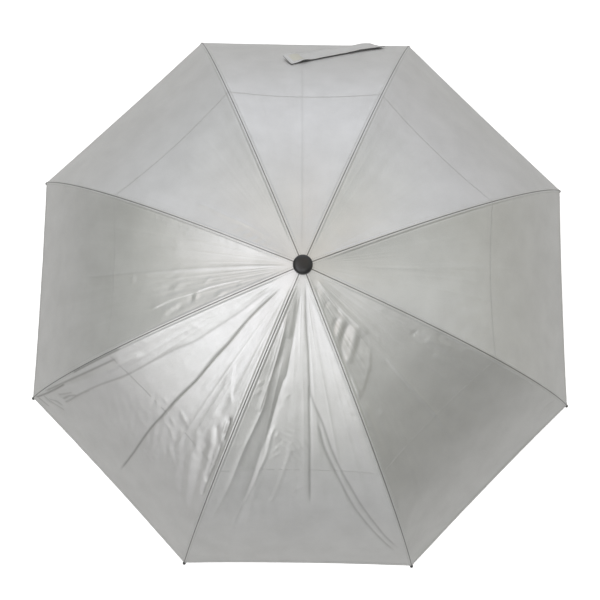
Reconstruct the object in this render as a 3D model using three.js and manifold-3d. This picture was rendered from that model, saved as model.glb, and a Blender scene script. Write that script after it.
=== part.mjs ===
// Straight-shaft sun umbrella, open, with a silver-coated eight-panel canopy.
// Millimetres, +Z up along the shaft. The origin is the centre of the handle's end face.
// Eight ribs hinge on a wire in the crown, and eight stretchers join them to a wire in the runner.
// Rib parts are built in the XZ plane, reaching out along +X, and then turned about Z.
// Points written [r, z] are a distance from the shaft's axis and a height.
import * as THREE from "three";
import { mergeVertices } from "three/addons/utils/BufferGeometryUtils.js";
import Module from "manifold-3d";

const wasm = await Module();
wasm.setup();

// ---------- driving dimensions ----------
const RIBS = 8; // also the number of panels
const FIRST_RIB_DEG = 22.5; // azimuth of rib 1
const PITCH_DEG = 360 / RIBS;
const CANOPY_R = 470; // canopy corner radius when open
const SLOPE = { crown: 9, corner: 59.5, power: 1.4 }; // rib slope in degrees
const FABRIC = 0.6; // fabric thickness
const FABRIC_START_R = 10.4; // fabric starts here, under the cap
const ROD_R = 1.6; // rib rod radius
const ROD_DROP = 2.6; // rib centre line below the fabric's outer face
const CROWN_Z = 635; // height of the rib hinge wire
const CROWN_WIRE_R = 8.5; // ring radius of the rib hinge wire
const RUNNER_WIRE_R = 11; // ring radius of the runner wire
const WIRE_R = 0.5; // wire thickness, as a radius
const SHAFT_R = 4.75;
const SHAFT_BORE = 3.75;
const SHAFT_BOTTOM = 10;
const SHAFT_TOP = CROWN_Z + 11;
const HANDLE_TOP = 118;
const HANDLE_R = 14.5;
const END_CAP_H = 8;
const FLEX_S = 0.55; // share of the rib length at which the rib's bending is gathered
const JOINT_ARC = 192; // distance along the rib from its hinge to the stretcher bracket
const BRACKET_DROP = 4.4; // stretcher pivot below the rib centre line
const STRETCHER = 280; // stretcher length between pivots

// closed pose, which sets the joint ranges
const FLEX_CLOSED_R = 31; // radius of the rib's flex point
const TIP_CLOSED_R = 46; // radius of the rib's end
const PANEL_CLOSED_OUT = 6; // panels lie this far outside the ribs

// ---------- the rib curve ----------
// s is the share of the rib's length, 0 where the fabric starts and 1 at the corner
const CURVE_STEPS = 600;
const HALF_PITCH = Math.PI / RIBS;
const COS_HALF = Math.cos(HALF_PITCH);
const SIN_HALF = Math.sin(HALF_PITCH);
const radians = THREE.MathUtils.degToRad;
const slopeAt = (s) =>
  radians(SLOPE.crown + (SLOPE.corner - SLOPE.crown) * Math.pow(s, SLOPE.power));

const unitCurve = [[0, 0]]; // [r, z] along a curve of length 1
for (let i = 0; i < CURVE_STEPS; i++) {
  const slope = slopeAt((i + 0.5) / CURVE_STEPS);
  const [r, z] = unitCurve[i];
  unitCurve.push([r + Math.cos(slope) / CURVE_STEPS, z - Math.sin(slope) / CURVE_STEPS]);
}
const RIB_LENGTH = (CANOPY_R - FABRIC_START_R) / unitCurve[CURVE_STEPS][0];
const TOP_SLOPE = slopeAt(0);
// this height puts the crown wire on the rib's centre line
const FABRIC_TOP_Z =
  CROWN_Z +
  ROD_DROP * Math.cos(TOP_SLOPE) +
  (CROWN_WIRE_R - FABRIC_START_R - ROD_DROP * Math.sin(TOP_SLOPE)) * Math.tan(TOP_SLOPE);

// point on the fabric's outer face over a rib, moved inward along the normal by drop;
// past the corner the curve runs on straight
function seam(s, drop = 0) {
  const step = Math.min(CURVE_STEPS, s * CURVE_STEPS);
  const i = Math.min(CURVE_STEPS - 1, Math.floor(step));
  const [from, to] = [unitCurve[i], unitCurve[i + 1]];
  const along = (k) => from[k] + (to[k] - from[k]) * (step - i);
  const slope = slopeAt(Math.min(1, s));
  const beyond = Math.max(0, s - 1) * RIB_LENGTH;
  return [
    FABRIC_START_R + along(0) * RIB_LENGTH + beyond * Math.cos(slope) - drop * Math.sin(slope),
    FABRIC_TOP_Z + along(1) * RIB_LENGTH - beyond * Math.sin(slope) - drop * Math.cos(slope),
  ];
}

// ---------- pivots, open and closed ----------
const distance = (a, b) => Math.hypot(a[0] - b[0], a[1] - b[1]);
// angle of b seen from a, measured from straight down, outward positive
const angleFromDown = (a, b) => Math.atan2(b[0] - a[0], a[1] - b[1]);
// turns a point about a centre; a positive angle carries +r towards -z
function turnAbout([r, z], [centreR, centreZ], angle) {
  const [c, s] = [Math.cos(angle), Math.sin(angle)];
  const [dr, dz] = [r - centreR, z - centreZ];
  return [centreR + dr * c + dz * s, centreZ - dr * s + dz * c];
}
// the turn about a pivot that brings a point to the given radius
const turnToRadius = (pivot, point, radius) =>
  angleFromDown(pivot, point) - Math.asin((radius - pivot[0]) / distance(pivot, point));

const jointS = (JOINT_ARC - (FABRIC_START_R - CROWN_WIRE_R)) / RIB_LENGTH;
const ribHinge = [CROWN_WIRE_R, CROWN_Z];
const ribFlex = seam(FLEX_S, ROD_DROP);
const ribEnd = seam(1, ROD_DROP);
const ribJoint = seam(jointS, ROD_DROP + BRACKET_DROP);
const RUNNER_Z = ribJoint[1] - Math.sqrt(STRETCHER ** 2 - (ribJoint[0] - RUNNER_WIRE_R) ** 2);
const runnerHinge = [RUNNER_WIRE_R, RUNNER_Z];

const ribTurn = turnToRadius(ribHinge, ribFlex, FLEX_CLOSED_R);
const flexClosed = turnAbout(ribFlex, ribHinge, ribTurn);
const jointClosed = turnAbout(ribJoint, ribHinge, ribTurn);
const flexTurn = turnToRadius(flexClosed, turnAbout(ribEnd, ribHinge, ribTurn), TIP_CLOSED_R);
const stretcherClosed = Math.asin((RUNNER_WIRE_R - jointClosed[0]) / STRETCHER);
const stretcherOpen = angleFromDown(ribJoint, runnerHinge);
const stretcherTurn = stretcherOpen - stretcherClosed - ribTurn; // relative to its rib
const RUNNER_END_Z = jointClosed[1] - STRETCHER * Math.cos(stretcherClosed);

// a panel's pivots lie in its middle plane; the first sits a little out from and below its edge
const PANEL_HINGE = { out: 0.9, down: 0.6 };
const midPlane = ([r, z]) => [r * COS_HALF, z];
const panelHinge = [
  FABRIC_START_R * COS_HALF + PANEL_HINGE.out,
  seam(0)[1] - PANEL_HINGE.down,
];
const panelFlex = midPlane(seam(FLEX_S));
const panelEnd = midPlane(seam(1));
const panelClosedR = (ribR) => (ribR + PANEL_CLOSED_OUT) * COS_HALF;
const panelTurn = turnToRadius(panelHinge, panelFlex, panelClosedR(FLEX_CLOSED_R));
const panelFlexTurn = turnToRadius(
  turnAbout(panelFlex, panelHinge, panelTurn),
  turnAbout(panelEnd, panelHinge, panelTurn),
  panelClosedR(TIP_CLOSED_R),
);

// ---------- solid helpers ----------
function solid(geometry) {
  for (const key of Object.keys(geometry.attributes)) {
    if (key !== "position") geometry.deleteAttribute(key);
  }
  const merged = mergeVertices(geometry, 1e-4);
  return new wasm.Manifold(new wasm.Mesh({
    numProp: 3,
    vertProperties: merged.attributes.position.array,
    triVerts: new Uint32Array(merged.index.array),
  }));
}

function geometryOf(manifold) {
  const mesh = manifold.getMesh();
  const positions = new Float32Array(mesh.numVert * 3);
  for (let i = 0; i < mesh.numVert; i++) {
    const start = i * mesh.numProp;
    positions.set(mesh.vertProperties.subarray(start, start + 3), i * 3);
  }
  const geometry = new THREE.BufferGeometry();
  geometry.setAttribute("position", new THREE.BufferAttribute(positions, 3));
  geometry.setIndex(new THREE.BufferAttribute(new Uint32Array(mesh.triVerts), 1));
  geometry.computeVertexNormals();
  return geometry;
}

const union = (...list) => list.reduce((a, b) => a.add(b));
const points2 = (list) => list.map(([x, y]) => new THREE.Vector2(x, y));
const raised = (profile, height) => profile.map(([r, z]) => [r, z + height]);

// profiles are anticlockwise in (r, z); this one starts and ends on the axis
const turned = (profile, segments) =>
  solid(new THREE.LatheGeometry(points2(profile), segments).rotateX(Math.PI / 2));
// a turned ring, whose profile closes on itself
const turnedRing = (profile, segments) => turned([...profile, profile[0]], segments);

const box = (size, centre) => solid(new THREE.BoxGeometry(...size).translate(...centre));
// a box shifted by offset, sloped down outward and then moved to [r, z]
const slopedBox = (size, offset, slope, [r, z]) =>
  solid(new THREE.BoxGeometry(...size).translate(...offset).rotateY(slope).translate(r, 0, z));

const cylinder = (radius, length, segments) =>
  new THREE.CylinderGeometry(radius, radius, length, segments);
const cylinderX = (radius, length, segments, y, z) =>
  solid(cylinder(radius, length, segments).rotateZ(Math.PI / 2).translate(0, y, z));
const cylinderY = (radius, length, segments, [r, z]) =>
  solid(cylinder(radius, length, segments).translate(r, 0, z));
const cylinderZ = (radius, length, segments, z) =>
  solid(cylinder(radius, length, segments).rotateX(Math.PI / 2).translate(0, 0, z));

function frameMatrix(xAxis, yAxis, zAxis, origin) {
  const axes = [xAxis, yAxis, zAxis].map((axis) => new THREE.Vector3(...axis));
  return new THREE.Matrix4().makeBasis(...axes).setPosition(...origin);
}

// a path through given points, with one extrusion step to each stretch
class Polyline extends THREE.Curve {
  constructor(points) {
    super();
    this.points = points;
  }
  getPoint(t, target = new THREE.Vector3()) {
    const last = this.points.length - 1;
    const place = Math.min(last - 1e-9, Math.max(0, t * last));
    const i = Math.floor(place);
    return target.copy(this.points[i]).lerp(this.points[i + 1], place - i);
  }
  getPointAt(t, target) {
    return this.getPoint(t, target);
  }
  getTangentAt(t, target = new THREE.Vector3()) {
    const last = this.points.length - 1;
    const i = Math.round(t * last);
    const before = this.points[Math.max(0, i - 1)];
    return target.copy(this.points[Math.min(last, i + 1)]).sub(before).normalize();
  }
}

function extrudePolygon(radius, sides, firstAngle, steps, extrudePath) {
  const corners = Array.from({ length: sides }, (_, i) => {
    const angle = (2 * Math.PI * i) / sides + firstAngle;
    return [radius * Math.cos(angle), radius * Math.sin(angle)];
  });
  const shape = new THREE.Shape(points2(corners));
  return solid(new THREE.ExtrudeGeometry(shape, { steps, bevelEnabled: false, extrudePath }));
}

// a six-sided rod through [r, z] points
function rodThrough(points, radius) {
  const path = new Polyline(points.map(([r, z]) => new THREE.Vector3(r, 0, z)));
  return extrudePolygon(radius, 6, Math.PI / 6, points.length - 1, path);
}

// ---------- hinge wires and their seats ----------
const WIRE_CLEARANCE = 0.34;
const SLOT = { depth: 8, width: 2.5, height: 8 };
const wireRing = (ringR, z, thickness = WIRE_R) =>
  solid(new THREE.TorusGeometry(ringR, thickness, 6, 40).translate(0, 0, z));

// cuts one slot per rib, starting at slotR, and the groove for the wire
function cutHingeSeats(body, ringR, z, slotR) {
  for (let i = 0; i < RIBS; i++) {
    const slot = new THREE.BoxGeometry(SLOT.depth, SLOT.width, SLOT.height);
    slot.translate(slotR + SLOT.depth / 2, 0, z);
    slot.rotateZ(radians(FIRST_RIB_DEG + PITCH_DEG * i));
    body = body.subtract(solid(slot));
  }
  return body.subtract(wireRing(ringR, z, WIRE_R + WIRE_CLEARANCE));
}

// ---------- shaft, crown, cap ----------
const shaft = () => turnedRing([
  [SHAFT_BORE, SHAFT_BOTTOM], [SHAFT_R, SHAFT_BOTTOM],
  [SHAFT_R, SHAFT_TOP], [SHAFT_BORE, SHAFT_TOP],
], 32);

// a sleeve with a flange round the hinge wire; heights are from the wire
function crown() {
  const profile = [
    [5.05, -13], [6.1, -13], [6.4, -12.6], [6.4, -2.6],
    [11, -2.6], [11, 0.7], [10.5, 1.2], [5.05, 1.2],
  ];
  const body = turnedRing(raised(profile, CROWN_Z), 48);
  return cutHingeSeats(body, CROWN_WIRE_R, CROWN_Z, 6.5);
}

// a domed cap, with a blind bore for the shaft's end
function topCap() {
  const radius = 12.9;
  const height = 11;
  const boreR = 5.1;
  const base = FABRIC_TOP_Z + 0.75;
  const boreTop = SHAFT_TOP + 0.4;
  return turnedRing([
    [boreR, base], [radius - 0.6, base], [radius, base + 0.6],
    [radius, base + height * 0.55], [radius - 0.5, base + height * 0.72],
    [radius - 1.8, base + height * 0.87], [radius - 4.2, base + height * 0.96],
    [radius - 8, base + height], [0, base + height], [0, boreTop], [boreR, boreTop],
  ], 40);
}

// ---------- handle ----------
function handleGrip() {
  const boreR = 5.05;
  const bottom = END_CAP_H + 0.4;
  return turnedRing([
    [boreR, bottom], [13.2, bottom], [14.2, END_CAP_H + 1.6], [HANDLE_R, END_CAP_H + 9],
    [13.6, 34], [13.3, 58], [13.9, 84], [HANDLE_R, 100], [14.1, 110], [12.6, 115.5],
    [9.8, HANDLE_TOP], [boreR, HANDLE_TOP],
  ], 36);
}

// a disc with a plug that reaches up inside the shaft
const handleEndCap = () => turned([
  [0, 0], [12.8, 0], [13.8, 1], [13.8, END_CAP_H - 0.8], [13.2, END_CAP_H],
  [3.35, END_CAP_H], [3.35, 22], [2.8, 22.6], [0, 22.6],
], 36);

// ---------- wrist cord and its collar ----------
const CORD_R = 1.3;
const CORD_TOP = [0, -12.2, HANDLE_TOP + 3.2];
const CORD_Z = CORD_TOP[2];
const CORD_HOLE_Y = -11.2;
const COLLAR_BORE = SHAFT_R + 0.25;

// a ring above the grip, with a lug on its -Y side
function cordCollar() {
  const profile = [ // heights are from the handle's top
    [COLLAR_BORE, 0.4], [9.4, 0.4], [9.4, 5], [8.4, 6], [COLLAR_BORE, 6],
  ];
  const ring = turnedRing(raised(profile, HANDLE_TOP), 32);
  const lug = cylinderX(3.4, 3, 16, -11, CORD_Z);
  const arm = box([3, 5, 4.6], [0, -9.2, CORD_Z]);
  return union(ring, lug, arm)
    .subtract(cylinderX(1.9, 8, 14, CORD_HOLE_Y, CORD_Z))
    .subtract(cylinderZ(COLLAR_BORE, 30, 32, HANDLE_TOP));
}

// a loop through the lug
function wristCord() {
  // [x, y, height from the lug] on the +X half, from the lug to the lowest point
  const half = [
    [0, CORD_HOLE_Y, 0], [3.2, -11.5, -0.2], [6.8, -14.6, -2.4], [9, -18.4, -9],
    [10.2, -19.4, -26], [11.2, -19.2, -50], [10.4, -18.8, -72], [6.4, -18.6, -88],
    [0, -18.6, -93],
  ];
  const mirrored = half.slice(1, -1).reverse().map(([x, y, z]) => [-x, y, z]);
  const points = [...half, ...mirrored].map(([x, y, z]) => new THREE.Vector3(x, y, CORD_Z + z));
  const path = new THREE.CatmullRomCurve3(points, true, "centripetal");
  return extrudePolygon(CORD_R, 6, 0, 48, path);
}

// ---------- runner and its catch button ----------
// heights in this section are from the runner wire
const RUNNER_BORE = 5.15;
const RUNNER_TUBE_R = 7.4;
const RUNNER_FOOT = -42;
const BUTTON_PIN = { y: -10.4, z: RUNNER_Z - 19 };
const TOOTH_Z = RUNNER_Z - 12.5;

function runner() {
  const profile = [
    [RUNNER_BORE, RUNNER_FOOT], [10.6, RUNNER_FOOT], // foot flange
    [11.4, RUNNER_FOOT + 0.9], [11.4, RUNNER_FOOT + 4.2], [10.4, RUNNER_FOOT + 5.4],
    [RUNNER_TUBE_R + 0.5, RUNNER_FOOT + 8], [RUNNER_TUBE_R, RUNNER_FOOT + 11],
    [RUNNER_TUBE_R, -2.6], [13, -2.6], [13, 2.6], [RUNNER_TUBE_R, 2.6], // wire flange
    [RUNNER_TUBE_R, 5.4], [RUNNER_BORE + 0.8, 6], [RUNNER_BORE, 6],
  ];
  const tube = turnedRing(raised(profile, RUNNER_Z), 40);
  const body = cutHingeSeats(tube, RUNNER_WIRE_R, RUNNER_Z, 8.4);
  const housing = box([9, 7.2, 24], [0, -9.2, BUTTON_PIN.z]);
  const recess = box([5.6, 12, 19.6], [0, -12, BUTTON_PIN.z]);
  const toothWindow = box([3.6, 9, 5], [0, -6, TOOTH_Z]);
  return union(body, housing)
    .subtract(cylinderZ(RUNNER_BORE, 60, 40, RUNNER_Z - 20))
    .subtract(recess)
    .subtract(toothWindow)
    .add(cylinderX(0.8, 8.6, 12, BUTTON_PIN.y, BUTTON_PIN.z));
}

// a rocker with its tooth above the pin and its thumb pad below
function runnerButton() {
  const width = 4.6;
  const outline = [ // [y, z]
    [-5.25, -10.8], [-5.25, -14.2], [-7.4, -15.2], [-8.2, -18], [-8.4, -27.2], [-12.6, -27.2],
    [-14.2, -26.2], [-14.6, -23.4], [-13.6, -20], [-12.4, -16], [-12, -11.4], [-11.2, -10.6],
  ];
  const shape = new THREE.Shape(points2(outline));
  const blank = new THREE.ExtrudeGeometry(shape, { depth: width, bevelEnabled: false });
  // the outline is drawn in (y, z) and extruded along x
  blank.applyMatrix4(frameMatrix([0, 1, 0], [0, 0, 1], [1, 0, 0], [-width / 2, 0, RUNNER_Z]));
  const sides = [1, -1];
  let button = solid(blank);
  // narrow the tooth on both sides
  for (const side of sides) {
    button = button.subtract(box([1.2, 4, 5], [side * 2.5, -5.6, TOOTH_Z]));
  }
  button = button.subtract(cylinderX(1.15, 10, 12, BUTTON_PIN.y, BUTTON_PIN.z));
  // a longer relief on each side
  for (const side of sides) {
    button = button.subtract(box([1.6, 2.4, 8], [side * 2.55, -5.9, RUNNER_Z - 13]));
  }
  return button;
}

// ---------- ribs, tips and stretchers ----------
const STATIONS = 7; // stretches in each half of a rib, and rows in each half of a panel
const FLEX_GAP = 0.95 / RIB_LENGTH; // each half of the rib stops this far from the flex point
const WIRE_HOLE_R = 0.86;
const HOLE_LENGTH = 4;

function ribInner() {
  const rodStart = 4.1; // from the hinge
  const points = [[
    CROWN_WIRE_R + rodStart * Math.cos(TOP_SLOPE),
    CROWN_Z - rodStart * Math.sin(TOP_SLOPE),
  ]];
  for (let i = 1; i < STATIONS; i++) points.push(seam((FLEX_S * i) / STATIONS, ROD_DROP));
  points.push(seam(FLEX_S - FLEX_GAP, ROD_DROP));

  // flat shank with a round eye on the crown wire
  const shank = { length: 5.2, width: 1.8, height: 2.3 };
  const tongue = slopedBox(
    [shank.length, shank.width, shank.height], [shank.length / 2, 0, 0], TOP_SLOPE, ribHinge,
  );
  const rib = union(rodThrough(points, ROD_R), tongue, cylinderY(1.75, shank.width, 10, ribHinge))
    .subtract(cylinderY(WIRE_HOLE_R, HOLE_LENGTH, 8, ribHinge));

  // bracket with two ears and the rivet the stretcher turns on
  const slope = slopeAt(jointS);
  const centre = seam(jointS, ROD_DROP);
  const clamp = slopedBox([13, 5.2, 3], [0, 0, -0.75], slope, centre);
  const earHeight = BRACKET_DROP + 1.4;
  const ear = (y) => slopedBox([5.4, 1.25, earHeight], [0, y, -earHeight / 2 - 0.8], slope, centre);
  return union(rib, clamp, ear(1.97), ear(-1.97), cylinderY(0.8, 5, 8, ribJoint));
}

function ribOuter() {
  const intoTip = 4.2; // the rod runs this far past the corner
  const points = [seam(FLEX_S + FLEX_GAP, ROD_DROP)];
  for (let i = 1; i <= STATIONS; i++) {
    points.push(seam(FLEX_S + ((1 - FLEX_S) * i) / STATIONS, ROD_DROP));
  }
  points.push(seam(1 + intoTip / RIB_LENGTH, ROD_DROP));
  return rodThrough(points, ROD_R);
}

function ribTipGeometry() {
  const profile = [ // [radius, distance along the rib past the corner]
    [0, 0.5], [2.15, 0.5], [2.3, 1.2], [2.3, 3.4], [2.6, 4.4],
    [2.6, 5.6], [2.2, 6.9], [1.2, 7.7], [0, 7.9],
  ];
  const socketDepth = 4.6;
  const socket = cylinder(1.95, socketDepth, 10).translate(0, socketDepth / 2, 0);
  const tip = solid(new THREE.LatheGeometry(points2(profile), 10)).subtract(solid(socket));
  // the lathe's +Y axis goes along the rib, outward and down
  const [c, s] = [Math.cos(slopeAt(1)), Math.sin(slopeAt(1))];
  const place = frameMatrix([s, 0, c], [c, 0, -s], [0, 1, 0], [ribEnd[0], 0, ribEnd[1]]);
  return geometryOf(tip).applyMatrix4(place);
}

// a rod with a flat shank and an eye at each end
function stretcher() {
  const direction = [0, 1].map((k) => (ribJoint[k] - runnerHinge[k]) / STRETCHER);
  const pointAt = (length) => direction.map((part, k) => runnerHinge[k] + part * length);
  const slope = Math.atan2(-direction[1], direction[0]);
  const rodStart = 4.4;
  const rodEnd = STRETCHER - 4.2;
  const rod = rodThrough([rodStart, (rodStart + rodEnd) / 2, rodEnd].map(pointAt), 1.5);
  const width = 1.7; // of the shanks and eyes
  const shank = (length) => slopedBox([5.6, width, 2], [0, 0, 0], slope, pointAt(length));
  return union(
    rod, shank(2.8), shank(STRETCHER - 2.9),
    cylinderY(1.6, width, 10, runnerHinge), cylinderY(1.8, width, 10, ribJoint),
  )
    .subtract(cylinderY(WIRE_HOLE_R, HOLE_LENGTH, 8, runnerHinge))
    .subtract(cylinderY(1.16, HOLE_LENGTH, 8, ribJoint));
}

// ---------- canopy panels ----------
const PANEL_SAG = 7; // how far a panel's middle sits inside the straight line between its ribs
const SAG_RAMP = 60; // the sag grows in over this first length
const HEM_SCALLOP = 0.012; // share of the rib length by which the hem rises at mid panel
const SCALLOP_START = 0.6; // s at which that rise begins
const SEAM_INSET = 0.32; // a panel's edge stops this far short of the rib's plane
const FOLD_GAP = 0.2 / RIB_LENGTH; // each half of a panel stops this far from the flex line

function sagAt(s) {
  const clamped = THREE.MathUtils.clamp(s, 0, 1);
  const ramp = Math.min(1, (s * RIB_LENGTH) / SAG_RAMP);
  return PANEL_SAG * Math.pow(Math.sin(Math.PI * clamped ** 0.9), 0.8) * ramp;
}

// u runs from -1 to 1 across the panel, s along it; drop is the depth below the outer face
function panelPoint(s, u, drop) {
  const bulge = 1 - u * u;
  const rise = Math.max(0, (s - SCALLOP_START) / (1 - SCALLOP_START)) ** 2;
  const [r, z] = seam(s - HEM_SCALLOP * bulge * rise);
  const slope = slopeAt(s);
  const midSlope = Math.atan2(Math.sin(slope), Math.cos(slope) * COS_HALF);
  const depth = sagAt(s) * bulge + drop;
  return new THREE.Vector3(
    r * COS_HALF - depth * Math.sin(midSlope),
    u * (r * SIN_HALF - SEAM_INSET),
    z - depth * Math.cos(midSlope),
  );
}

// a unit box with its vertices moved by place(across, along, up), each from -0.5 to 0.5
function sheet(columns, rows, place) {
  const geometry = new THREE.BoxGeometry(1, 1, 1, columns, rows, 1);
  const positions = geometry.attributes.position;
  for (let i = 0; i < positions.count; i++) {
    const { x, y, z } = place(positions.getX(i), positions.getY(i), positions.getZ(i));
    positions.setXYZ(i, x, y, z);
  }
  // the box's x and y go to +Y and +X, which mirrors it, so its faces are turned over
  const index = geometry.index.array;
  for (let i = 0; i < index.length; i += 3) {
    [index[i + 1], index[i + 2]] = [index[i + 2], index[i + 1]];
  }
  return geometryOf(solid(geometry));
}

const panelGeometry = (from, to) => sheet(4, STATIONS, (across, along, up) =>
  panelPoint(from + (to - from) * (along + 0.5), 2 * across, (0.5 - up) * FABRIC));

// ---------- tie strap ----------
// It lies slantwise on panel 2, from the hem near that panel's +X seam.
const STRAP = {
  start: { y: -127, s: 0.947 }, // sewn end; y is across the panel in its own frame
  end: { y: 29, s: 0.762 },
  width: 27,
  skew: 14,
  thick: 1.1,
  lift: 1, // underside above the fabric's outer face
};
const STRAP_ARM_DEG = FIRST_RIB_DEG + 1.5 * PITCH_DEG; // middle of panel 2, which is +Y

// t runs 0 to 1 from the sewn end, w from -0.5 on the cap's side to 0.5 on the hem's
function strapPoint(t, w, height) {
  const { start, end, width, skew } = STRAP;
  const y = start.y + (end.y - start.y) * t + skew * w;
  const s = start.s + (end.s - start.s) * t + (w * width) / RIB_LENGTH;
  return panelPoint(s, y / (seam(s)[0] * SIN_HALF), -height).setY(y);
}
const strapGeometry = () => sheet(12, 2, (along, w, up) =>
  strapPoint(along + 0.5, w, STRAP.lift + STRAP.thick * (up + 0.5)));

// the fold line along the underside of the sewn end, in the model's frame
function strapFold() {
  const edge = (w) => {
    const { x, y, z } = strapPoint(0, w, STRAP.lift);
    return new THREE.Vector3(-y, x, z);
  };
  return { pos: edge(0).toArray(), axis: edge(0.5).sub(edge(-0.5)).normalize().toArray() };
}

// ---------- materials ----------
const material = (color, roughness, metalness, extra = {}) =>
  new THREE.MeshStandardMaterial({ color, roughness, metalness, ...extra });
const materials = { // color, roughness, metalness
  silver_fabric: material(0xc2c3c3, 0.5, 0.55, { side: THREE.DoubleSide }),
  black_plastic: material(0x17181a, 0.45, 0),
  rib_fibre: material(0x1c1d20, 0.35, 0),
  shaft_metal: material(0x2a2c30, 0.35, 0.8),
  wire: material(0xb9bcc0, 0.3, 1),
  foam: material(0x1b1c1e, 0.9, 0),
  cord: material(0x222326, 0.85, 0),
  tip_plastic: material(0x202124, 0.4, 0),
};

// ---------- assembly ----------
const root = new THREE.Group();
const bodies = {}; // names of the meshes that move together

function put(name, body, geometry, slot, parent = root) {
  const mesh = new THREE.Mesh(geometry, materials[slot]);
  mesh.name = name;
  mesh.userData.slot = slot;
  parent.add(mesh);
  (bodies[body] ??= []).push(name);
}

function addArm(degrees) {
  const arm = new THREE.Group();
  arm.rotation.z = radians(degrees);
  root.add(arm);
  return arm;
}

const centralPieces = [ // name, body, solid, material
  ["shaft", "frame", shaft(), "shaft_metal"],
  ["crown", "frame", crown(), "black_plastic"],
  ["crown_wire", "frame", wireRing(CROWN_WIRE_R, CROWN_Z), "wire"],
  ["top_cap", "frame", topCap(), "black_plastic"],
  ["handle_grip", "frame", handleGrip(), "foam"],
  ["handle_end_cap", "frame", handleEndCap(), "black_plastic"],
  ["cord_collar", "frame", cordCollar(), "black_plastic"],
  ["wrist_cord", "wrist_cord", wristCord(), "cord"],
  ["runner", "runner", runner(), "black_plastic"],
  ["runner_wire", "runner", wireRing(RUNNER_WIRE_R, RUNNER_Z), "wire"],
  ["runner_button", "runner_button", runnerButton(), "black_plastic"],
];
for (const [name, body, piece, slot] of centralPieces) put(name, body, geometryOf(piece), slot);

const innerGeometry = geometryOf(ribInner());
const outerGeometry = geometryOf(ribOuter());
const tipGeometry = ribTipGeometry();
const stretcherGeometry = geometryOf(stretcher());
for (let i = 1; i <= RIBS; i++) {
  const arm = addArm(FIRST_RIB_DEG + PITCH_DEG * (i - 1));
  put(`rib_${i}_inner`, `rib_${i}`, innerGeometry, "rib_fibre", arm);
  put(`rib_${i}_outer`, `rib_${i}_end`, outerGeometry, "rib_fibre", arm);
  put(`rib_${i}_tip`, `rib_${i}_end`, tipGeometry, "tip_plastic", arm);
  put(`stretcher_${i}`, `stretcher_${i}`, stretcherGeometry, "rib_fibre", arm);
}

const upperGeometry = panelGeometry(0, FLEX_S - FOLD_GAP);
const lowerGeometry = panelGeometry(FLEX_S + FOLD_GAP, 1);
for (let i = 1; i <= RIBS; i++) {
  const arm = addArm(FIRST_RIB_DEG + PITCH_DEG * (i - 0.5));
  put(`panel_${i}_upper`, `panel_${i}`, upperGeometry, "silver_fabric", arm);
  put(`panel_${i}_lower`, `panel_${i}_hem`, lowerGeometry, "silver_fabric", arm);
}
put("tie_strap", "tie_strap", strapGeometry(), "silver_fabric", addArm(STRAP_ARM_DEG));

// pivots and joint ranges, for whatever moves the model
root.userData = {
  bodies,
  H: ribHinge, F: ribFlex, E: ribEnd, J: ribJoint, Q: runnerHinge,
  Fc: flexClosed, Jc: jointClosed,
  PH: panelHinge, PF: panelFlex, PE: panelEnd,
  ribTurn, flexTurn, stretcherTurn, panelTurn, panelFlexTurn,
  TRAVEL: RUNNER_Z - RUNNER_END_Z, RUNNER_OPEN_Z: RUNNER_Z, RUNNER_END_Z,
  LENGTH: RIB_LENGTH, ZA: FABRIC_TOP_Z, tip: seam(1),
  N: RIBS, FIRST_RIB_DEG, CORD_TOP, SJ: jointS, strapHinge: strapFold(),
};
export default root;
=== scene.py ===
"""An open umbrella with eight silver panels, black inside, on a black frame.

The shaft stands on the z axis, the grip just above z = 0 and the cap at the top. Panel i is
centred on azimuth 45 * i degrees, and rib i runs between panels i - 1 and i. Lengths are in mm
and become metres where meshes are made. The cloth is laid out by two coordinates: share, from 0
near the cap to 1 at the rib tips, and across, from -1 on one seam of a panel to 1 on the other.
"""

import math

import bmesh
import bpy
import numpy as np
from mathutils import Matrix, Vector


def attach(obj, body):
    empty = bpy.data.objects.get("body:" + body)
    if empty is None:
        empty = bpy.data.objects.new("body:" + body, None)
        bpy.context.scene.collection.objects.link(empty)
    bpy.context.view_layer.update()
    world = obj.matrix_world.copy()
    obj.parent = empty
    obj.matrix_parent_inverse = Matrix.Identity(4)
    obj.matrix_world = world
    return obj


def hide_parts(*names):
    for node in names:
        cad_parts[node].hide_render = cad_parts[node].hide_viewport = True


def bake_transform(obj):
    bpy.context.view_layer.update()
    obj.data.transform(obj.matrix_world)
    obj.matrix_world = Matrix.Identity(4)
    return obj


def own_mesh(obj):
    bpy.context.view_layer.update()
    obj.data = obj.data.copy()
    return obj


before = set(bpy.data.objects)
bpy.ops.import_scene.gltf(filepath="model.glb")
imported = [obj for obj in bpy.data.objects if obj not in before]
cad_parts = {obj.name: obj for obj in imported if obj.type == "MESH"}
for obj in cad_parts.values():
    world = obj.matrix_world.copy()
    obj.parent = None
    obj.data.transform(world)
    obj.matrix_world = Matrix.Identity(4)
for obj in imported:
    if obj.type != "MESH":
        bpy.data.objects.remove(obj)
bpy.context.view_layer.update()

MM = 0.001
RAD = math.pi / 180

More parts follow.
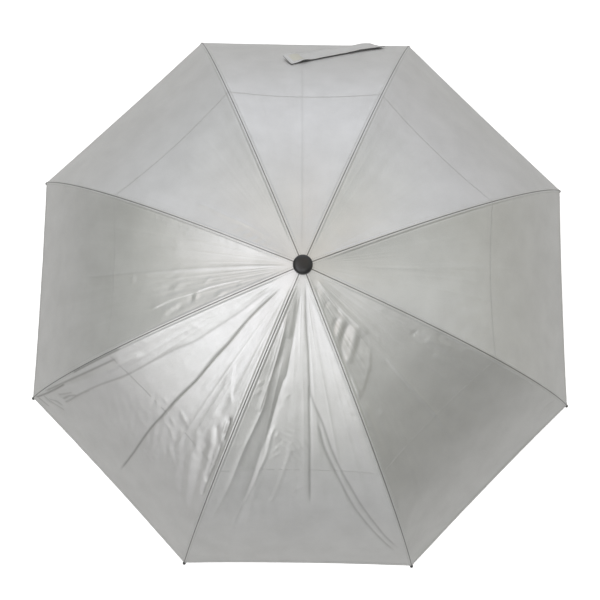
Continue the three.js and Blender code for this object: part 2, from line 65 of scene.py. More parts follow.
# ------------------------------------------------------------------ driving dimensions
PANELS = 8
PANEL_ANGLE = 360 / PANELS
HALF_ANGLE = math.pi / PANELS
CANOPY_RADIUS = 470.0
START_RADIUS = 10.4         # where the cloth begins
TOP_SLOPE, RIM_SLOPE, SLOPE_POWER = 9.0, 59.5, 1.4
SAG = 7.0                   # of a panel's middle below its ribs
SCALLOP = 0.012             # how far the hem's middle draws up, as a share
ROD_DROP = 2.6              # rib axis below the cloth's outer face
ROD_RADIUS = 1.6
CROWN_Z, CROWN_RADIUS = 635.0, 8.5      # circle of rib eyes
FLEX_SHARE = 0.55           # where a rib and its panels flex
JOINT_ARC = 192.0           # crown eye to stretcher bracket, along the rib
BRACKET_DROP = 4.4          # stretcher pin below the rib axis
STRETCHER_LENGTH = 280.0
RUNNER_RADIUS = 11.0        # circle of the stretchers' lower eyes
SHEET = 0.35                # cloth thickness


def smoothstep(low, high, value):
    t = np.clip((value - low) / (high - low), 0, 1)
    return t * t * (3 - 2 * t)


def panel_azimuth(panel):
    return PANEL_ANGLE * panel * RAD


def rib_azimuth(rib):
    return PANEL_ANGLE * (rib - 0.5) * RAD


# ------------------------------------------------------------------ canopy surface
def slope(share):
    """Fall of a seam below the horizontal, in radians."""
    return (TOP_SLOPE + (RIM_SLOPE - TOP_SLOPE) * np.clip(share, 0, 1) ** SLOPE_POWER) * RAD


# seam curve of unit length from (0, 0): columns are r and z
PROFILE_STEPS = 600
step_slopes = slope((np.arange(PROFILE_STEPS) + 0.5) / PROFILE_STEPS)
UNIT_SEAM = np.zeros((PROFILE_STEPS + 1, 2))
UNIT_SEAM[1:] = np.cumsum(
    np.stack([np.cos(step_slopes), -np.sin(step_slopes)], -1) / PROFILE_STEPS, axis=0)

SEAM_LENGTH = (CANOPY_RADIUS - START_RADIUS) / UNIT_SEAM[-1, 0]
TOP_Z = (CROWN_Z + ROD_DROP * math.cos(TOP_SLOPE * RAD)
         + (CROWN_RADIUS - START_RADIUS - ROD_DROP * math.sin(TOP_SLOPE * RAD))
         * math.tan(TOP_SLOPE * RAD))
HEM_END = 1 - 6 / SEAM_LENGTH           # the cloth stops at the neck of the rib tips


def seam(share, depth=0.0):
    """(r, z) over a rib, at a depth below the cloth's outer face."""
    share = np.asarray(share, float)
    steps = np.clip(share, 0, 1) * PROFILE_STEPS
    index = np.arange(PROFILE_STEPS + 1)
    tilt = slope(share)
    over = np.where(share > 1, share - 1, np.where(share < 0, share, 0.0)) * SEAM_LENGTH
    r = START_RADIUS + np.interp(steps, index, UNIT_SEAM[:, 0]) * SEAM_LENGTH
    z = TOP_Z + np.interp(steps, index, UNIT_SEAM[:, 1]) * SEAM_LENGTH
    r = r + over * np.cos(tilt)
    z = z - over * np.sin(tilt)
    return r - depth * np.sin(tilt), z - depth * np.cos(tilt)


def half_width(share):
    return seam(share)[0] * math.sin(HALF_ANGLE)


def surface(share, across):
    """Smooth outer face in the panel's frame: x out along its middle, y across, z up."""
    middle = 1 - across * across
    r, z = seam(share - SCALLOP * middle * np.maximum(0, (share - 0.6) / 0.4) ** 2)
    tilt = slope(share)
    tilt = np.arctan2(np.sin(tilt), np.cos(tilt) * math.cos(HALF_ANGLE))
    sag = SAG * np.sin(np.pi * np.clip(share, 0, 1) ** 0.9) ** 0.8 * middle
    sag = sag * np.minimum(1, share * SEAM_LENGTH / 60)
    x = r * math.cos(HALF_ANGLE) - sag * np.sin(tilt)
    return np.stack([x, across * r * math.sin(HALF_ANGLE), z - sag * np.cos(tilt)], -1)


def surface_normals(share, across):
    step = 1e-3
    down = (surface(np.clip(share + step, 0, 1), across)
            - surface(np.clip(share - step, 0, 1), across))
    over = (surface(share, np.clip(across + step, -1, 1))
            - surface(share, np.clip(across - step, -1, 1)))
    normals = np.cross(down, over)
    normals /= np.linalg.norm(normals, axis=-1)[..., None]
    return normals * np.sign(normals[..., 2:3])


# ------------------------------------------------------------------ noise and curves
def noise(x, y, seed):
    """Smooth value noise, -1 to 1, one lattice cell per unit."""
    table = np.random.RandomState(seed).rand(128, 128) * 2 - 1
    column, row = np.floor(x).astype(int), np.floor(y).astype(int)
    x, y = x - column, y - row
    x = x * x * x * (x * (x * 6 - 15) + 10)
    y = y * y * y * (y * (y * 6 - 15) + 10)

    def corner(right, up):
        return table[(column + right) % 128, (row + up) % 128]

    low = corner(0, 0) * (1 - x) + corner(1, 0) * x
    return low * (1 - y) + (corner(0, 1) * (1 - x) + corner(1, 1) * x) * y


def ridged(x, y, seed):
    return 1 - 2 * np.abs(noise(x, y, seed))


def catmull_rom(before, start, end, after, count):
    """Points of the curve from start to end, end left out."""
    return [0.5 * (2 * start + (end - before) * t
                   + (2 * before - 5 * start + 4 * end - after) * t * t
                   + (3 * start - before - 3 * end + after) * t ** 3)
            for t in np.linspace(0, 1, count, endpoint=False)]


def smooth_path(points):
    if len(points) < 3:
        return points
    ends = 2 * points[0] - points[1], 2 * points[-1] - points[-2]
    padded = np.vstack([ends[0], points, ends[1]])
    path = []
    for k in range(1, len(padded) - 2):
        path += catmull_rom(*padded[k - 1:k + 3], count=10)
    return np.array(path + [padded[-2]])


def polyline_distance(x, y, path):
    """Distance to a path, side of it, and share of its length at the nearest point."""
    segments = np.diff(path, axis=0)
    lengths = np.hypot(segments[:, 0], segments[:, 1])
    total, done = lengths.sum(), 0.0
    best = np.full(x.shape, 1e9)
    side = np.zeros(x.shape)
    run = np.zeros(x.shape)
    for start, way, length in zip(path[:-1], segments, lengths):
        from_x, from_y = x - start[0], y - start[1]
        t = np.clip((from_x * way[0] + from_y * way[1]) / (length * length), 0, 1)
        from_x, from_y = from_x - t * way[0], from_y - t * way[1]
        distance = np.hypot(from_x, from_y)
        near = distance < best
        best = np.where(near, distance, best)
        side = np.where(near, np.sign(way[0] * from_y - way[1] * from_x), side)
        run = np.where(near, (done + t * length) / total, run)
        done += length
    return best, side, run


# ------------------------------------------------------------------ creases
# Per panel: height in mm (negative sinks), width in mm, then the points as across, share,
# across, share ... in thousandths. Then the kind, a ridge if not given, and the strength of
# the painted shade that darkens the colour along a hard fold's line.
CREASES = {
    1: [
        (0.16, 4, [-50, 43, 163, 215, 225, 420, 175, 738], "fold"),
        (0.2, 12, [475, 1000, 113, 912, -400, 830]),
        (0.2, 8, [525, 110, 738, 253, 875, 463]),
    ],
    2: [
        (0.35, 2.2, [175, 15, 75, 107, 50, 230, 38, 367, 38, 535, 38, 733], "fold", 0.12),
        (0.25, 7, [1000, 695, 913, 537, 888, 430]),
        (-0.25, 6, [-838, 860, -825, 600, -750, 383]),
        (0.14, 8, [825, 575, 625, 470, 663, 360]),
    ],
    3: [
        (0.9, 3.0, [550, 330, 500, 288, 475, 247, 400, 200, 275, 145, 238, 120, 188, 85],
         "fold2"),
        (0.5, 2.6, [438, 175, 600, 182, 812, 188]),
        (0.7, 2.8, [375, 145, 588, 150, 788, 158]),
        (-0.4, 2.6, [450, 160, 688, 165, 888, 170]),
        (0.7, 2.8, [363, 120, 650, 122, 838, 130]),
        (-0.4, 2.6, [388, 130, 663, 133, 850, 140]),
        (0.7, 2.6, [300, 95, 600, 98, 900, 100]),
        (-0.4, 2.6, [338, 105, 650, 107, 875, 113]),
        (0.6, 2.2, [188, 75, 513, 77, 763, 83]),
        (0.6, 2.2, [125, 60, 525, 62, 788, 65]),
        (0.5, 2.0, [125, 45, 562, 48, 825, 52]),
        (0.45, 2.0, [125, 30, 638, 33, 975, 35]),
        (0.22, 4, [62, 482, 75, 445, 88, 405]),
        (0.3, 6, [788, 682, 700, 600, 638, 535, 588, 458, 513, 375]),
        (-0.25, 6, [863, 655, 775, 565, 725, 478]),
        (0.2, 6, [475, 318, 350, 307, 200, 290]),
        (0.2, 4, [100, 215, 113, 185, 175, 160]),
    ],
    4: [
        (0.5, 2.8, [137, 7, -12, 80, -12, 160, 0, 275, 12, 417, 12, 473, 12, 580, 0, 677],
         "fold", 0.1),
        (0.9, 3.0, [513, 133, 525, 155, 513, 225, 562, 270, 575, 338, 638, 408], "step"),
        (0.5, 3.2, [250, 220, 325, 240, 438, 253]),
        (0.35, 6, [188, 307, 338, 328, 463, 343]),
        (-0.3, 7, [213, 343, 363, 357, 488, 367]),
        (-0.4, 3, [500, 155, 788, 152], "ridge", 0.1),
        (0.9, 3.6, [538, 260, 663, 268, 800, 268]),
        (-0.5, 3.6, [550, 280, 675, 283, 812, 278]),
        (-0.5, 4, [713, 198, 763, 223, 738, 247]),
        (0.5, 4, [763, 173, 800, 203, 863, 220]),
        (0.6, 4.5, [675, 312, 725, 340, 750, 378]),
        (-0.4, 4, [775, 300, 812, 320, 850, 357]),
        (0.2, 6, [113, 130, 188, 175, 263, 220]),
        (0.3, 5, [-87, 540, 50, 555, 163, 560]),
        (0.35, 4, [25, 470, 88, 475, 175, 482]),
        (0.35, 4, [50, 585, 137, 593, 213, 603]),
        (0.25, 5, [50, 625, 150, 633, 250, 640]),
        (0.35, 3.5, [12, 665, 88, 667, 150, 675]),
        (0.35, 4, [-62, 753, 25, 753, 125, 740]),
        (0.25, 4, [-662, 645, -575, 638]),
        (0.25, 4, [-387, 590, -300, 593]),
        (0.3, 4, [-925, 883, -938, 802, -975, 748]),
        (0.25, 8, [-750, 323, -450, 330, -200, 325]),
    ],
    5: [
        (-1.3, 7.5, [-985, 965, -955, 895, -935, 830, -925, 760], "fold", 0.75),
        (-0.5, 3.0, [-985, 700, -980, 600, -975, 500], "fold", 0.6),
        (-0.8, 3.0, [-970, 955, -900, 945, -840, 935], "ridge", 0.45),
        (0.8, 3.0, [-950, 925, -880, 915, -820, 900]),
        (-0.8, 3.4, [-900, 900, -830, 870, -760, 860], "ridge", 0.35),
        (0.8, 3.2, [-870, 850, -800, 820, -750, 800]),
        (-0.55, 3.2, [-237, 58, -375, 103, -375, 177, -425, 265, -450, 325, -525, 380,
                      -587, 470, -625, 552, -712, 657, -750, 743, -775, 815], "fold", 0.35),
        (-0.85, 1.9, [38, 45, -37, 118, -37, 175, 25, 255, 25, 323, 50, 405,
                      25, 487, 30, 560, 25, 633, 50, 755, 50, 890], "fold", 0.7),
        (0.9, 5.0, [425, 280, 525, 315, 675, 350, 812, 375], "step"),
        (-1.5, 4.5, [-975, 880, -950, 790, -925, 703, -887, 578, -875, 535], "fold", 0.55),
        (1.0, 4.0, [-950, 845, -912, 770, -863, 705, -800, 583, -775, 512, -750, 460]),
        (-0.75, 3.0, [-875, 833, -838, 800, -812, 768], "ridge", 0.32),
        (-0.9, 3.0, [-812, 828, -800, 795, -762, 765], "ridge", 0.42),
        (-0.9, 3.0, [-775, 838, -762, 802, -750, 745, -725, 700], "ridge", 0.42),
        (-0.75, 3.0, [-975, 915, -887, 905, -787, 888, -712, 875], "ridge", 0.37),
        (0.675, 3.0, [-950, 888, -850, 878, -762, 858]),
        (0.45, 4.0, [-762, 960, -688, 895, -613, 823]),
        (0.193, 3.0, [-425, 805, -400, 753, -362, 725, -337, 723]),
        (-0.25, 3.5, [-312, 795, -275, 748, -212, 725]),
        (0.22, 3.0, [-275, 818, -200, 787, -125, 755, 0, 748]),
        (-0.193, 3.0, [-250, 830, -175, 800, -112, 765, 12, 765]),
        (0.193, 3.0, [-137, 843, -112, 795, -50, 765, 0, 758]),
        (0.25, 4.0, [-375, 858, -287, 893, -175, 878]),
        (0.385, 3.4, [75, 575, 188, 578, 275, 590, 363, 605]),
        (0.303, 3.2, [75, 545, 163, 552, 263, 562]),
        (0.385, 4.0, [137, 510, 250, 517, 350, 525]),
        (-0.193, 3.5, [213, 535, 312, 545, 388, 550]),
        (0.358, 3.2, [25, 715, 137, 715, 250, 720, 325, 718]),
        (0.22, 3.0, [213, 703, 263, 698, 300, 698]),
        (0.33, 3.0, [50, 768, 150, 765, 200, 775, 225, 787]),
        (0.45, 3.0, [100, 855, 137, 863, 163, 870]),
        (0.22, 4.0, [-137, 630, -50, 638, 12, 633]),
        (0.22, 4.5, [-188, 688, -75, 698, 25, 695]),
        (0.193, 3.0, [-175, 545, -87, 550, -37, 550]),
        (-0.25, 3.0, [-212, 525, -162, 552, -137, 580]),
        (0.3, 3.0, [-150, 522, -75, 522, 12, 525]),
        (0.3, 4.5, [275, 620, 375, 635, 475, 662]),
        (0.3, 4.5, [263, 645, 388, 670, 488, 733]),
        (0.275, 4.0, [113, 508, 225, 512, 363, 525, 413, 532]),
        (-0.193, 4.0, [238, 527, 338, 537, 400, 550]),
        (-1.3, 4.2, [850, 393, 850, 422, 875, 455, 913, 500, 925, 542, 925, 605, 938, 655],
         "fold", 0.35),
        (-1.2, 2.6, [863, 400, 888, 425, 900, 450, 925, 465], "ridge", 0.6),
        (0.9, 2.8, [838, 408, 850, 438, 875, 463, 900, 490]),
        (-0.9, 4.5, [750, 440, 750, 458, 825, 487, 850, 520, 888, 568, 913, 610],
         "ridge", 0.2),
        (0.6, 6.0, [650, 413, 650, 438, 675, 475, 750, 510, 775, 560]),
        (-1.5, 8.0, [713, 500, 725, 545, 763, 588, 812, 638, 850, 695, 900, 768]),
        (0.45, 6.0, [525, 503, 588, 545, 625, 593]),
        (0.7, 6.0, [625, 570, 675, 630, 750, 685, 850, 750]),
        (-0.5, 6.0, [562, 615, 625, 667, 713, 718, 838, 782]),
        (0.7, 5.0, [800, 578, 850, 625, 888, 688, 925, 765, 963, 838]),
        (0.35, 7.0, [438, 620, 538, 672, 675, 730]),
        (0.35, 5.0, [488, 365, 550, 422, 525, 505]),
        (0.22, 4.0, [250, 338, 238, 380, 275, 417]),
        (0.3, 4.0, [425, 312, 475, 345, 575, 375]),
        (0.3, 4.0, [-812, 307, -625, 292, -487, 285]),
        (-0.25, 5.0, [-762, 338, -613, 333, -487, 312]),
    ],
    6: [
        (1.35, 3.4, [-725, 80, -725, 95, -662, 158, -650, 235, -675, 315, -688, 362, -675, 280,
                     -650, 345, -700, 410, -762, 485, -800, 593, -850, 685, -887, 755],
         "fold2"),
        (-1.5, 5.0, [-162, 28, -200, 65, -250, 133, -287, 200, -325, 268, -375, 288, -425, 345,
                     -463, 413, -500, 468, -537, 525, -562, 595, -600, 690, -650, 775],
         "fold2", 0.12),
        (0.75, 2.6, [-375, 405, -425, 445, -438, 495, -500, 562, -550, 628, -600, 690,
                     -650, 780]),
        (-0.75, 2.4, [463, 13, 250, 70, 200, 130, 200, 205, 188, 268, 175, 330, 175, 297,
                      150, 378, 137, 468, 125, 555, 113, 680], "fold", 0.45),
        (-0.75, 2.8, [163, 292, 238, 345, 350, 403, 425, 478, 500, 542, 575, 598, 650, 662,
                      750, 738, 825, 800, 925, 865], "fold", 0.4),
        (-0.85, 2.8, [275, 390, 300, 430, 338, 480, 413, 537, 500, 608, 575, 675, 688, 755,
                      800, 830, 888, 888], "fold", 0.4),
        (-0.5, 6, [-463, 158, -512, 205, -625, 255, -662, 285]),
        (0.5, 3.4, [-750, 280, -850, 288, -887, 300]),
        (0.5, 3.4, [-762, 300, -850, 315, -875, 325]),
        (0.35, 4.5, [-650, 65, -450, 115, -487, 175]),
        (0.25, 5, [100, 90, 38, 158, 100, 223]),
        (0.35, 3, [-988, 435, -900, 432]),
        (0.4, 6, [-975, 463, -838, 468, -738, 492]),
        (0.3, 4, [-800, 540, -700, 537, -587, 532]),
        (0.35, 2.6, [-300, 422, -337, 440, -387, 458]),
        (-0.3, 2.8, [-225, 440, -275, 460, -362, 482]),
        (0.35, 2.6, [-275, 460, -325, 482, -387, 500]),
        (0.3, 2.6, [-225, 485, -300, 500, -400, 517]),
        (0.35, 3, [-175, 312, -275, 330, -337, 350]),
        (-0.3, 3, [-300, 325, -350, 345, -387, 365]),
        (0.3, 3, [-75, 453, -150, 475, -162, 503]),
        (0.45, 3, [-100, 468, -175, 532, -262, 630, -325, 677]),
        (0.2, 4, [88, 468, -50, 482, -125, 478]),
        (0.25, 4, [88, 595, -25, 615, -100, 638]),
        (0.25, 4, [38, 645, -50, 662]),
        (0.35, 4.5, [-463, 547, -475, 608, -525, 672]),
        (-0.3, 3.5, [-575, 690, -587, 728, -600, 760]),
        (0.3, 6, [-750, 633, -787, 703, -850, 775]),
        (0.5, 3, [-963, 940, -900, 935, -838, 940]),
        (0.45, 7, [775, 328, 812, 383, 875, 458, 900, 575]),
        (-0.3, 7, [763, 547, 825, 618, 888, 698]),
        (0.2, 7, [513, 610, 550, 657, 600, 710]),
        (0.35, 4, [888, 728, 900, 780, 938, 845]),
        (-0.4, 3, [875, 840, 913, 858, 950, 858]),
    ],
    7: [
        (0.9, 3.4, [137, 28, -75, 60, -87, 95, -87, 133, -25, 177, 12, 235], "fold2"),
        (-0.5, 2.6, [-200, 48, -537, 50, -900, 58], "ridge", 0.15),
        (0.4, 3, [-87, 65, -463, 70, -812, 72]),
        (-0.6, 3, [-237, 90, -575, 95, -863, 100], "ridge", 0.2),
        (-0.4, 2.6, [-200, 113, -250, 133, -275, 143], "ridge", 0.15),
        (-1.1, 4, [-262, 140, -600, 147, -800, 158, -863, 177], "ridge", 0.15),
        (0.9, 5, [-100, 147, -550, 165, -850, 185]),
        (-1.5, 5, [-137, 170, -487, 182, -825, 205, -912, 242], "ridge", 0.15),
        (1.4, 6, [-37, 185, -400, 217, -712, 238, -887, 245]),
        (-0.5, 5, [-112, 212, -400, 235, -650, 253]),
        (1.3, 5.5, [-125, 255, -375, 295, -600, 315, -850, 338], "step"),
        (0.9, 3, [-887, 270, -887, 305, -875, 343]),
        (-0.4, 3, [-875, 292, -975, 292, -1000, 300]),
        (0.55, 2.6, [-50, 310, -25, 338, -25, 390, -25, 465, -12, 557, -50, 610], "fold"),
        (-0.5, 4, [613, 310, 700, 315, 812, 315], "ridge", 0.1),
        (0.35, 5, [763, 325, 825, 350, 888, 375]),
        (0.4, 6, [675, 345, 788, 375, 750, 420, 688, 492]),
        (-0.45, 6, [950, 352, 950, 395, 963, 463]),
        (0.3, 3, [713, 205, 812, 208]),
        (0.25, 3, [1000, 242, 1000, 250]),
        (0.45, 5.5, [-850, 355, -863, 408, -900, 473, -975, 540]),
        (0.4, 5, [-650, 398, -712, 475, -787, 555]),
        (-0.35, 6, [-912, 415, -925, 468, -963, 520]),
        (0.4, 5, [-725, 720, -912, 765, -1000, 815]),
        (0.35, 4, [-725, 800, -863, 828, -1000, 868]),
        (-0.3, 5, [-650, 782, -812, 812, -950, 840]),
        (0.3, 6, [-900, 645, -975, 718, -1000, 800]),
        (0.35, 5, [688, 348, 750, 370, 775, 388, 825, 435]),
        (0.4, 6, [588, 395, 613, 455, 663, 503, 725, 542]),
        (0.45, 3.5, [950, 843, 888, 835, 838, 820]),
        (-0.5, 3.5, [963, 883, 888, 873, 825, 873], "ridge", 0.1),
        (0.45, 3.5, [938, 920, 850, 910, 788, 922]),
        (0.25, 5, [888, 777, 825, 770, 738, 787]),
        (-0.35, 6, [750, 818, 675, 893, 588, 945]),
        (0.3, 3.5, [-37, 603, -25, 623, -25, 665]),
    ],
    8: [
        (0.3, 8, [-925, 460, -1000, 520, -1000, 588, -1000, 633]),
        (0.25, 7, [-738, 573, -812, 605, -863, 630]),
        (-0.25, 9, [-875, 715, -900, 765, -938, 843]),
        (0.3, 3, [50, 143, 75, 258, 113, 380, 137, 508, 163, 680], "fold"),
        (0.25, 4, [-575, 80, -500, 120, -450, 182]),
        (0.25, 6, [-738, 315, -975, 328, -1000, 350]),
        (0.25, 8, [-438, 435, -650, 480, -712, 497]),
    ],
}
# Patches of small waves per panel: centre (across, share), the window's radii in mm along and
# across its axis, the axis' direction in degrees, wavelength and height in mm
WAVES = {
    5: [(0.3, 0.62, 40, 60, 30, 15, 0.18), (-0.2, 0.84, 60, 40, 60, 13, 0.15),
        (0.12, 0.72, 44, 70, 22, 11, 0.15), (-0.3, 0.7, 46, 60, 52, 18, 0.13)],
    6: [(-0.12, 0.46, 34, 44, 45, 9, 0.13), (-0.55, 0.7, 40, 80, 8, 16, 0.14),
        (0.45, 0.6, 60, 90, -6, 26, 0.14)],
    7: [(-0.2, 0.6, 60, 90, 12, 34, 0.16), (0.86, 0.86, 22, 40, 8, 8, 0.16)],
    4: [(0.3, 0.66, 60, 40, 4, 22, 0.14), (0.62, 0.33, 34, 44, 20, 12, 0.14)],
    8: [(-0.7, 0.45, 50, 70, 20, 24, 0.14)],
    1: [(0.7, 0.3, 50, 60, 15, 22, 0.12)],
}
# Strength of each panel's overall crumple
CRUMPLE = {1: 0.6, 2: 0.5, 3: 0.6, 4: 0.9, 5: 1.3, 6: 1.1, 7: 0.9, 8: 0.7}


def add_crease(rise, crease_shade, x, y, panel, height, width, points, kind="ridge", crease_shade_strength=0):
    """Adds one crease to the rise array and to the painted crease shade, near its path only."""
    path = smooth_path(np.reshape(points, (-1, 2)) / 1000)
    path = np.stack([path[:, 0] * half_width(path[:, 1]), path[:, 1] * SEAM_LENGTH], -1)
    reach = 6 * width + 8
    low, high = path.min(0) - reach, path.max(0) + reach
    box = (x > low[0]) & (x < high[0]) & (y > low[1]) & (y < high[1])
    if not box.any():
        return
    distance, side, run = polyline_distance(x[box], y[box], path)
    # fade in and out at the ends, and vary a little on the way
    length = np.hypot(*np.diff(path, axis=0).T).sum()
    fade = 0.5 - np.clip(0.5 - 12 / max(length, 1), 0.06, 0.42)
    size = height * smoothstep(0, fade, run) * smoothstep(0, fade, 1 - run)
    size = size * (1 + 0.2 * noise(run * 9 + panel, run * 0 + height * 7, seed=5))
    if kind == "fold":      # a pressed fold: one narrow line
        shape = np.exp(-(distance / width) ** 1.4)
    elif kind == "fold2":   # a standing fold: narrow crest with a long shoulder
        shape = (0.65 * np.exp(-(distance / width) ** 1.4)
                 + 0.5 * np.exp(-distance / (width * 3.5)))
    elif kind == "step":    # cloth lifted on one side of a line
        shape = (np.exp(-distance / (width * 2.2))
                 * (0.5 + 0.5 * np.tanh(side * distance / (0.45 * width))))
    else:
        shape = np.exp(-(distance / width) ** 2)
    rise[box] += size * shape
    # painted shade: the colour darkens along the crease's line, where its shadow falls
    if crease_shade_strength:
        ends = smoothstep(0, 0.08, run) * smoothstep(0, 0.08, 1 - run)
        crease_shade[box] = np.maximum(crease_shade[box], crease_shade_strength * np.exp(-(distance / 1.5) ** 2) * ends)


def relief(panel, share, across):
    """Height of the cloth above its smooth surface, and painted shade along its creases."""
    half = half_width(share)
    x, y = across * half, share * SEAM_LENGTH
    edge = (1 - np.abs(across)) * half
    hem = (HEM_END - share) * SEAM_LENGTH
    crumple = CRUMPLE[panel]
    off_cap = smoothstep(8, 60, y)
    # painted shade that darkens the colour along creases
    crease_shade = np.zeros(share.shape)
    # broad unevenness, drawn out along the panel
    rise = (0.40 * crumple * noise(x / 50 + 11 * panel, y / 150 + 3 * panel, seed=10 + panel)
            * off_cap * smoothstep(0, 30, edge))
    # tension lines that run from the cap and from the two tips
    angle = np.arctan2(x, y + 20)
    rise += (0.16 * crumple * ridged(angle * 26 + 5 * panel, y / 260 + panel, seed=30 + panel)
             * off_cap * smoothstep(0, 14, edge))
    for side in (-1, 1):
        from_tip = x - side * float(half_width(1.0))
        angle = np.arctan2(from_tip, SEAM_LENGTH - y + 6)
        reach = np.hypot(from_tip, SEAM_LENGTH - y)
        lines = ridged(angle * 9 + 7 * panel, reach / 90, seed=50 + panel + side)
        rise += 0.20 * crumple * lines * np.exp(-reach / 60) * smoothstep(0, 6, edge)
    # fine crumple of thin coated cloth
    rise += 0.050 * crumple * noise(x / 9 + 9 * panel, y / 16, seed=70 + panel) * off_cap
    rise += (0.055 * crumple
             * ridged((x + 0.6 * y) / 34, (y - 0.5 * x) / 27, seed=90 + panel)
             * off_cap * smoothstep(0, 12, edge))
    for crease in CREASES[panel]:
        add_crease(rise, crease_shade, x, y, panel, *crease)
    for mid, mid_share, radius, cross_radius, degrees, wavelength, height in WAVES.get(panel, ()):
        from_x = x - mid * float(half_width(mid_share))
        from_y = y - mid_share * SEAM_LENGTH
        cos, sin = math.cos(degrees * RAD), math.sin(degrees * RAD)
        along = from_y * cos + from_x * sin
        beside = -from_y * sin + from_x * cos
        bend = 5 * noise(along / 30 + panel, beside / 60, seed=7)
        window = np.exp(-(along / radius) ** 2 - (beside / cross_radius) ** 2)
        rise += height * window * np.sin(2 * np.pi * (beside + bend) / wavelength)
    # cloth is drawn flat onto the ribs and the hem
    rise *= 0.1 + 0.9 * smoothstep(1.0, 9, edge)
    rise *= 0.35 + 0.65 * smoothstep(4, 24, hem)
    # seam allowance over the rib, a stitched valley beside it and a narrow gutter at the joint
    sewn = smoothstep(16, 40, y)
    rise += sewn * (0.40 * np.exp(-((edge - 2.4) / 1.7) ** 2)
                    - 0.22 * np.exp(-((edge - 5.2) / 0.8) ** 2))
    rise -= (0.25 + 0.65 * sewn) * np.exp(-(edge / 0.8) ** 2)
    # puckers along the seam thread
    puckers = noise(y / 3.6 + 17 * panel, np.sign(across) * 3.3, seed=21)
    rise += sewn * 0.10 * puckers * np.exp(-((edge - 7) / 5.0) ** 2)
    # hem band, its stitch line and the puckers that the thread pulls
    rise += 0.30 * smoothstep(8.6, 7.6, hem) - 0.26 * np.exp(-((hem - 8.2) / 0.6) ** 2)
    rise -= 0.35 * smoothstep(0.9, 0.0, hem)
    puckers = noise(x / 7.5 + 5 * panel, 0 * x, seed=23)
    rise += 0.20 * puckers * np.exp(-((hem - 10) / 9.0) ** 2) * smoothstep(0, 10, edge)
    return rise, crease_shade


# ------------------------------------------------------------------ mesh helpers
def turn_z(azimuth):
    cos, sin = math.cos(azimuth), math.sin(azimuth)
    return np.array([[cos, -sin, 0], [sin, cos, 0], [0, 0, 1]])


def place(turn, x, z, y=0.0):
    """Points of a rib's or panel's own frame, carried to the umbrella's frame."""
    return np.stack(np.broadcast_arrays(x, y, z), -1) @ turn.T


def new_object(name, verts, faces, materials, slots=None, smooth=True):
    """verts in mm. smooth: one flag, or one per face."""
    mesh = bpy.data.meshes.new(name)
    verts = np.asarray(verts, float).reshape(-1, 3) * MM
    faces = faces.tolist() if isinstance(faces, np.ndarray) else faces
    mesh.from_pydata(verts.tolist(), [], faces)
    for material in materials:
        mesh.materials.append(material)
    if slots is not None:
        mesh.polygons.foreach_set("material_index", np.asarray(slots, np.int32))
    mesh.polygons.foreach_set("use_smooth", np.array(np.broadcast_to(smooth, len(faces))))
    mesh.update()
    ob = bpy.data.objects.new(name, mesh)
    bpy.context.scene.collection.objects.link(ob)
    return ob


def oriented(ob):
    """Makes a closed mesh's faces point out."""
    bm = bmesh.new()
    bm.from_mesh(ob.data)
    bmesh.ops.recalc_face_normals(bm, faces=bm.faces)
    bm.to_mesh(ob.data)
    bm.free()
    return ob


def add_uv(ob, name, uv):
    """UV map from one (u, v) per vertex, in metres."""
    mesh = ob.data
    loops = np.zeros(len(mesh.loops), np.int32)
    mesh.loops.foreach_get("vertex_index", loops)
    layer = mesh.uv_layers.new(name=name)
    layer.data.foreach_set("uv", uv[loops].astype(np.float32).ravel())


def grid_faces(rows, cols, wrap=False):
    row, col = np.meshgrid(np.arange(rows - 1), np.arange(cols if wrap else cols - 1),
                           indexing="ij")
    here = row * cols + col
    right = row * cols + (col + 1) % cols
    return np.stack([here, right, right + cols, here + cols], -1).reshape(-1, 4)


def lathe(name, profile, segments, material, centre=(0, 0, 0), axis=None, sharp=35):
    """Turned solid from (r, z) points that run pole to pole or close on themselves."""
    closed = profile[0] == profile[-1]
    verts, rings = [], []
    for r, z in profile[:-1] if closed else profile:
        if r < 1e-9:
            rings.append([len(verts)] * segments)
            verts.append((0, 0, z))
        else:
            rings.append(range(len(verts), len(verts) + segments))
            angles = [2 * math.pi * k / segments for k in range(segments)]
            verts += [(r * math.cos(angle), r * math.sin(angle), z) for angle in angles]
    pairs = list(zip(rings, rings[1:]))
    if closed:
        pairs.append((rings[-1], rings[0]))
    faces = []
    for lower, upper in pairs:
        for k in range(segments):
            after = (k + 1) % segments
            quad = (lower[k], lower[after], upper[after], upper[k])
            # a pole repeats in the quad and leaves a triangle
            faces.append(tuple(dict.fromkeys(quad)))
    basis = np.eye(3)
    if axis is not None:
        z_axis = Vector(tuple(axis)).normalized()
        x_axis = z_axis.orthogonal().normalized()
        basis = np.stack([x_axis, z_axis.cross(x_axis), z_axis], -1)
    ob = new_object(name, np.array(verts) @ basis.T + centre, faces, (material,))
    ob.data.set_sharp_from_angle(angle=sharp * RAD)
    return ob


def tube_rings(points, tangents, up, radii, sides):
    """Rings of a tube, and its unit tangents. radii: one number, or an array (point, side)."""
    tangents = tangents / np.linalg.norm(tangents, axis=1)[:, None]
    side = np.cross(tangents, up)
    side /= np.linalg.norm(side, axis=1)[:, None]
    normal = np.cross(side, tangents)
    angles = 2 * np.pi * np.arange(sides) / sides
    rings = (points[:, None, :] + (radii * np.cos(angles))[..., None] * side[:, None, :]
             + (radii * np.sin(angles))[..., None] * normal[:, None, :])
    return rings.reshape(-1, 3), tangents


def sweep(points, radius, sides, turn, material, name="part"):
    """Closed rod through the points, with slightly pointed ends."""
    verts, tangents = tube_rings(points, np.gradient(points, axis=0), turn[:, 1], radius, sides)
    faces = grid_faces(len(points), sides, wrap=True)[:, ::-1].tolist()
    start, last = len(verts), len(verts) - sides
    tip = radius * 0.35
    verts = np.vstack([verts, points[0] - tangents[0] * tip, points[-1] + tangents[-1] * tip])
    for k in range(sides):
        after = (k + 1) % sides
        faces.append((start, k, after))
        faces.append((start + 1, last + after, last + k))
    return oriented(new_object(name, verts, faces, (material,)))


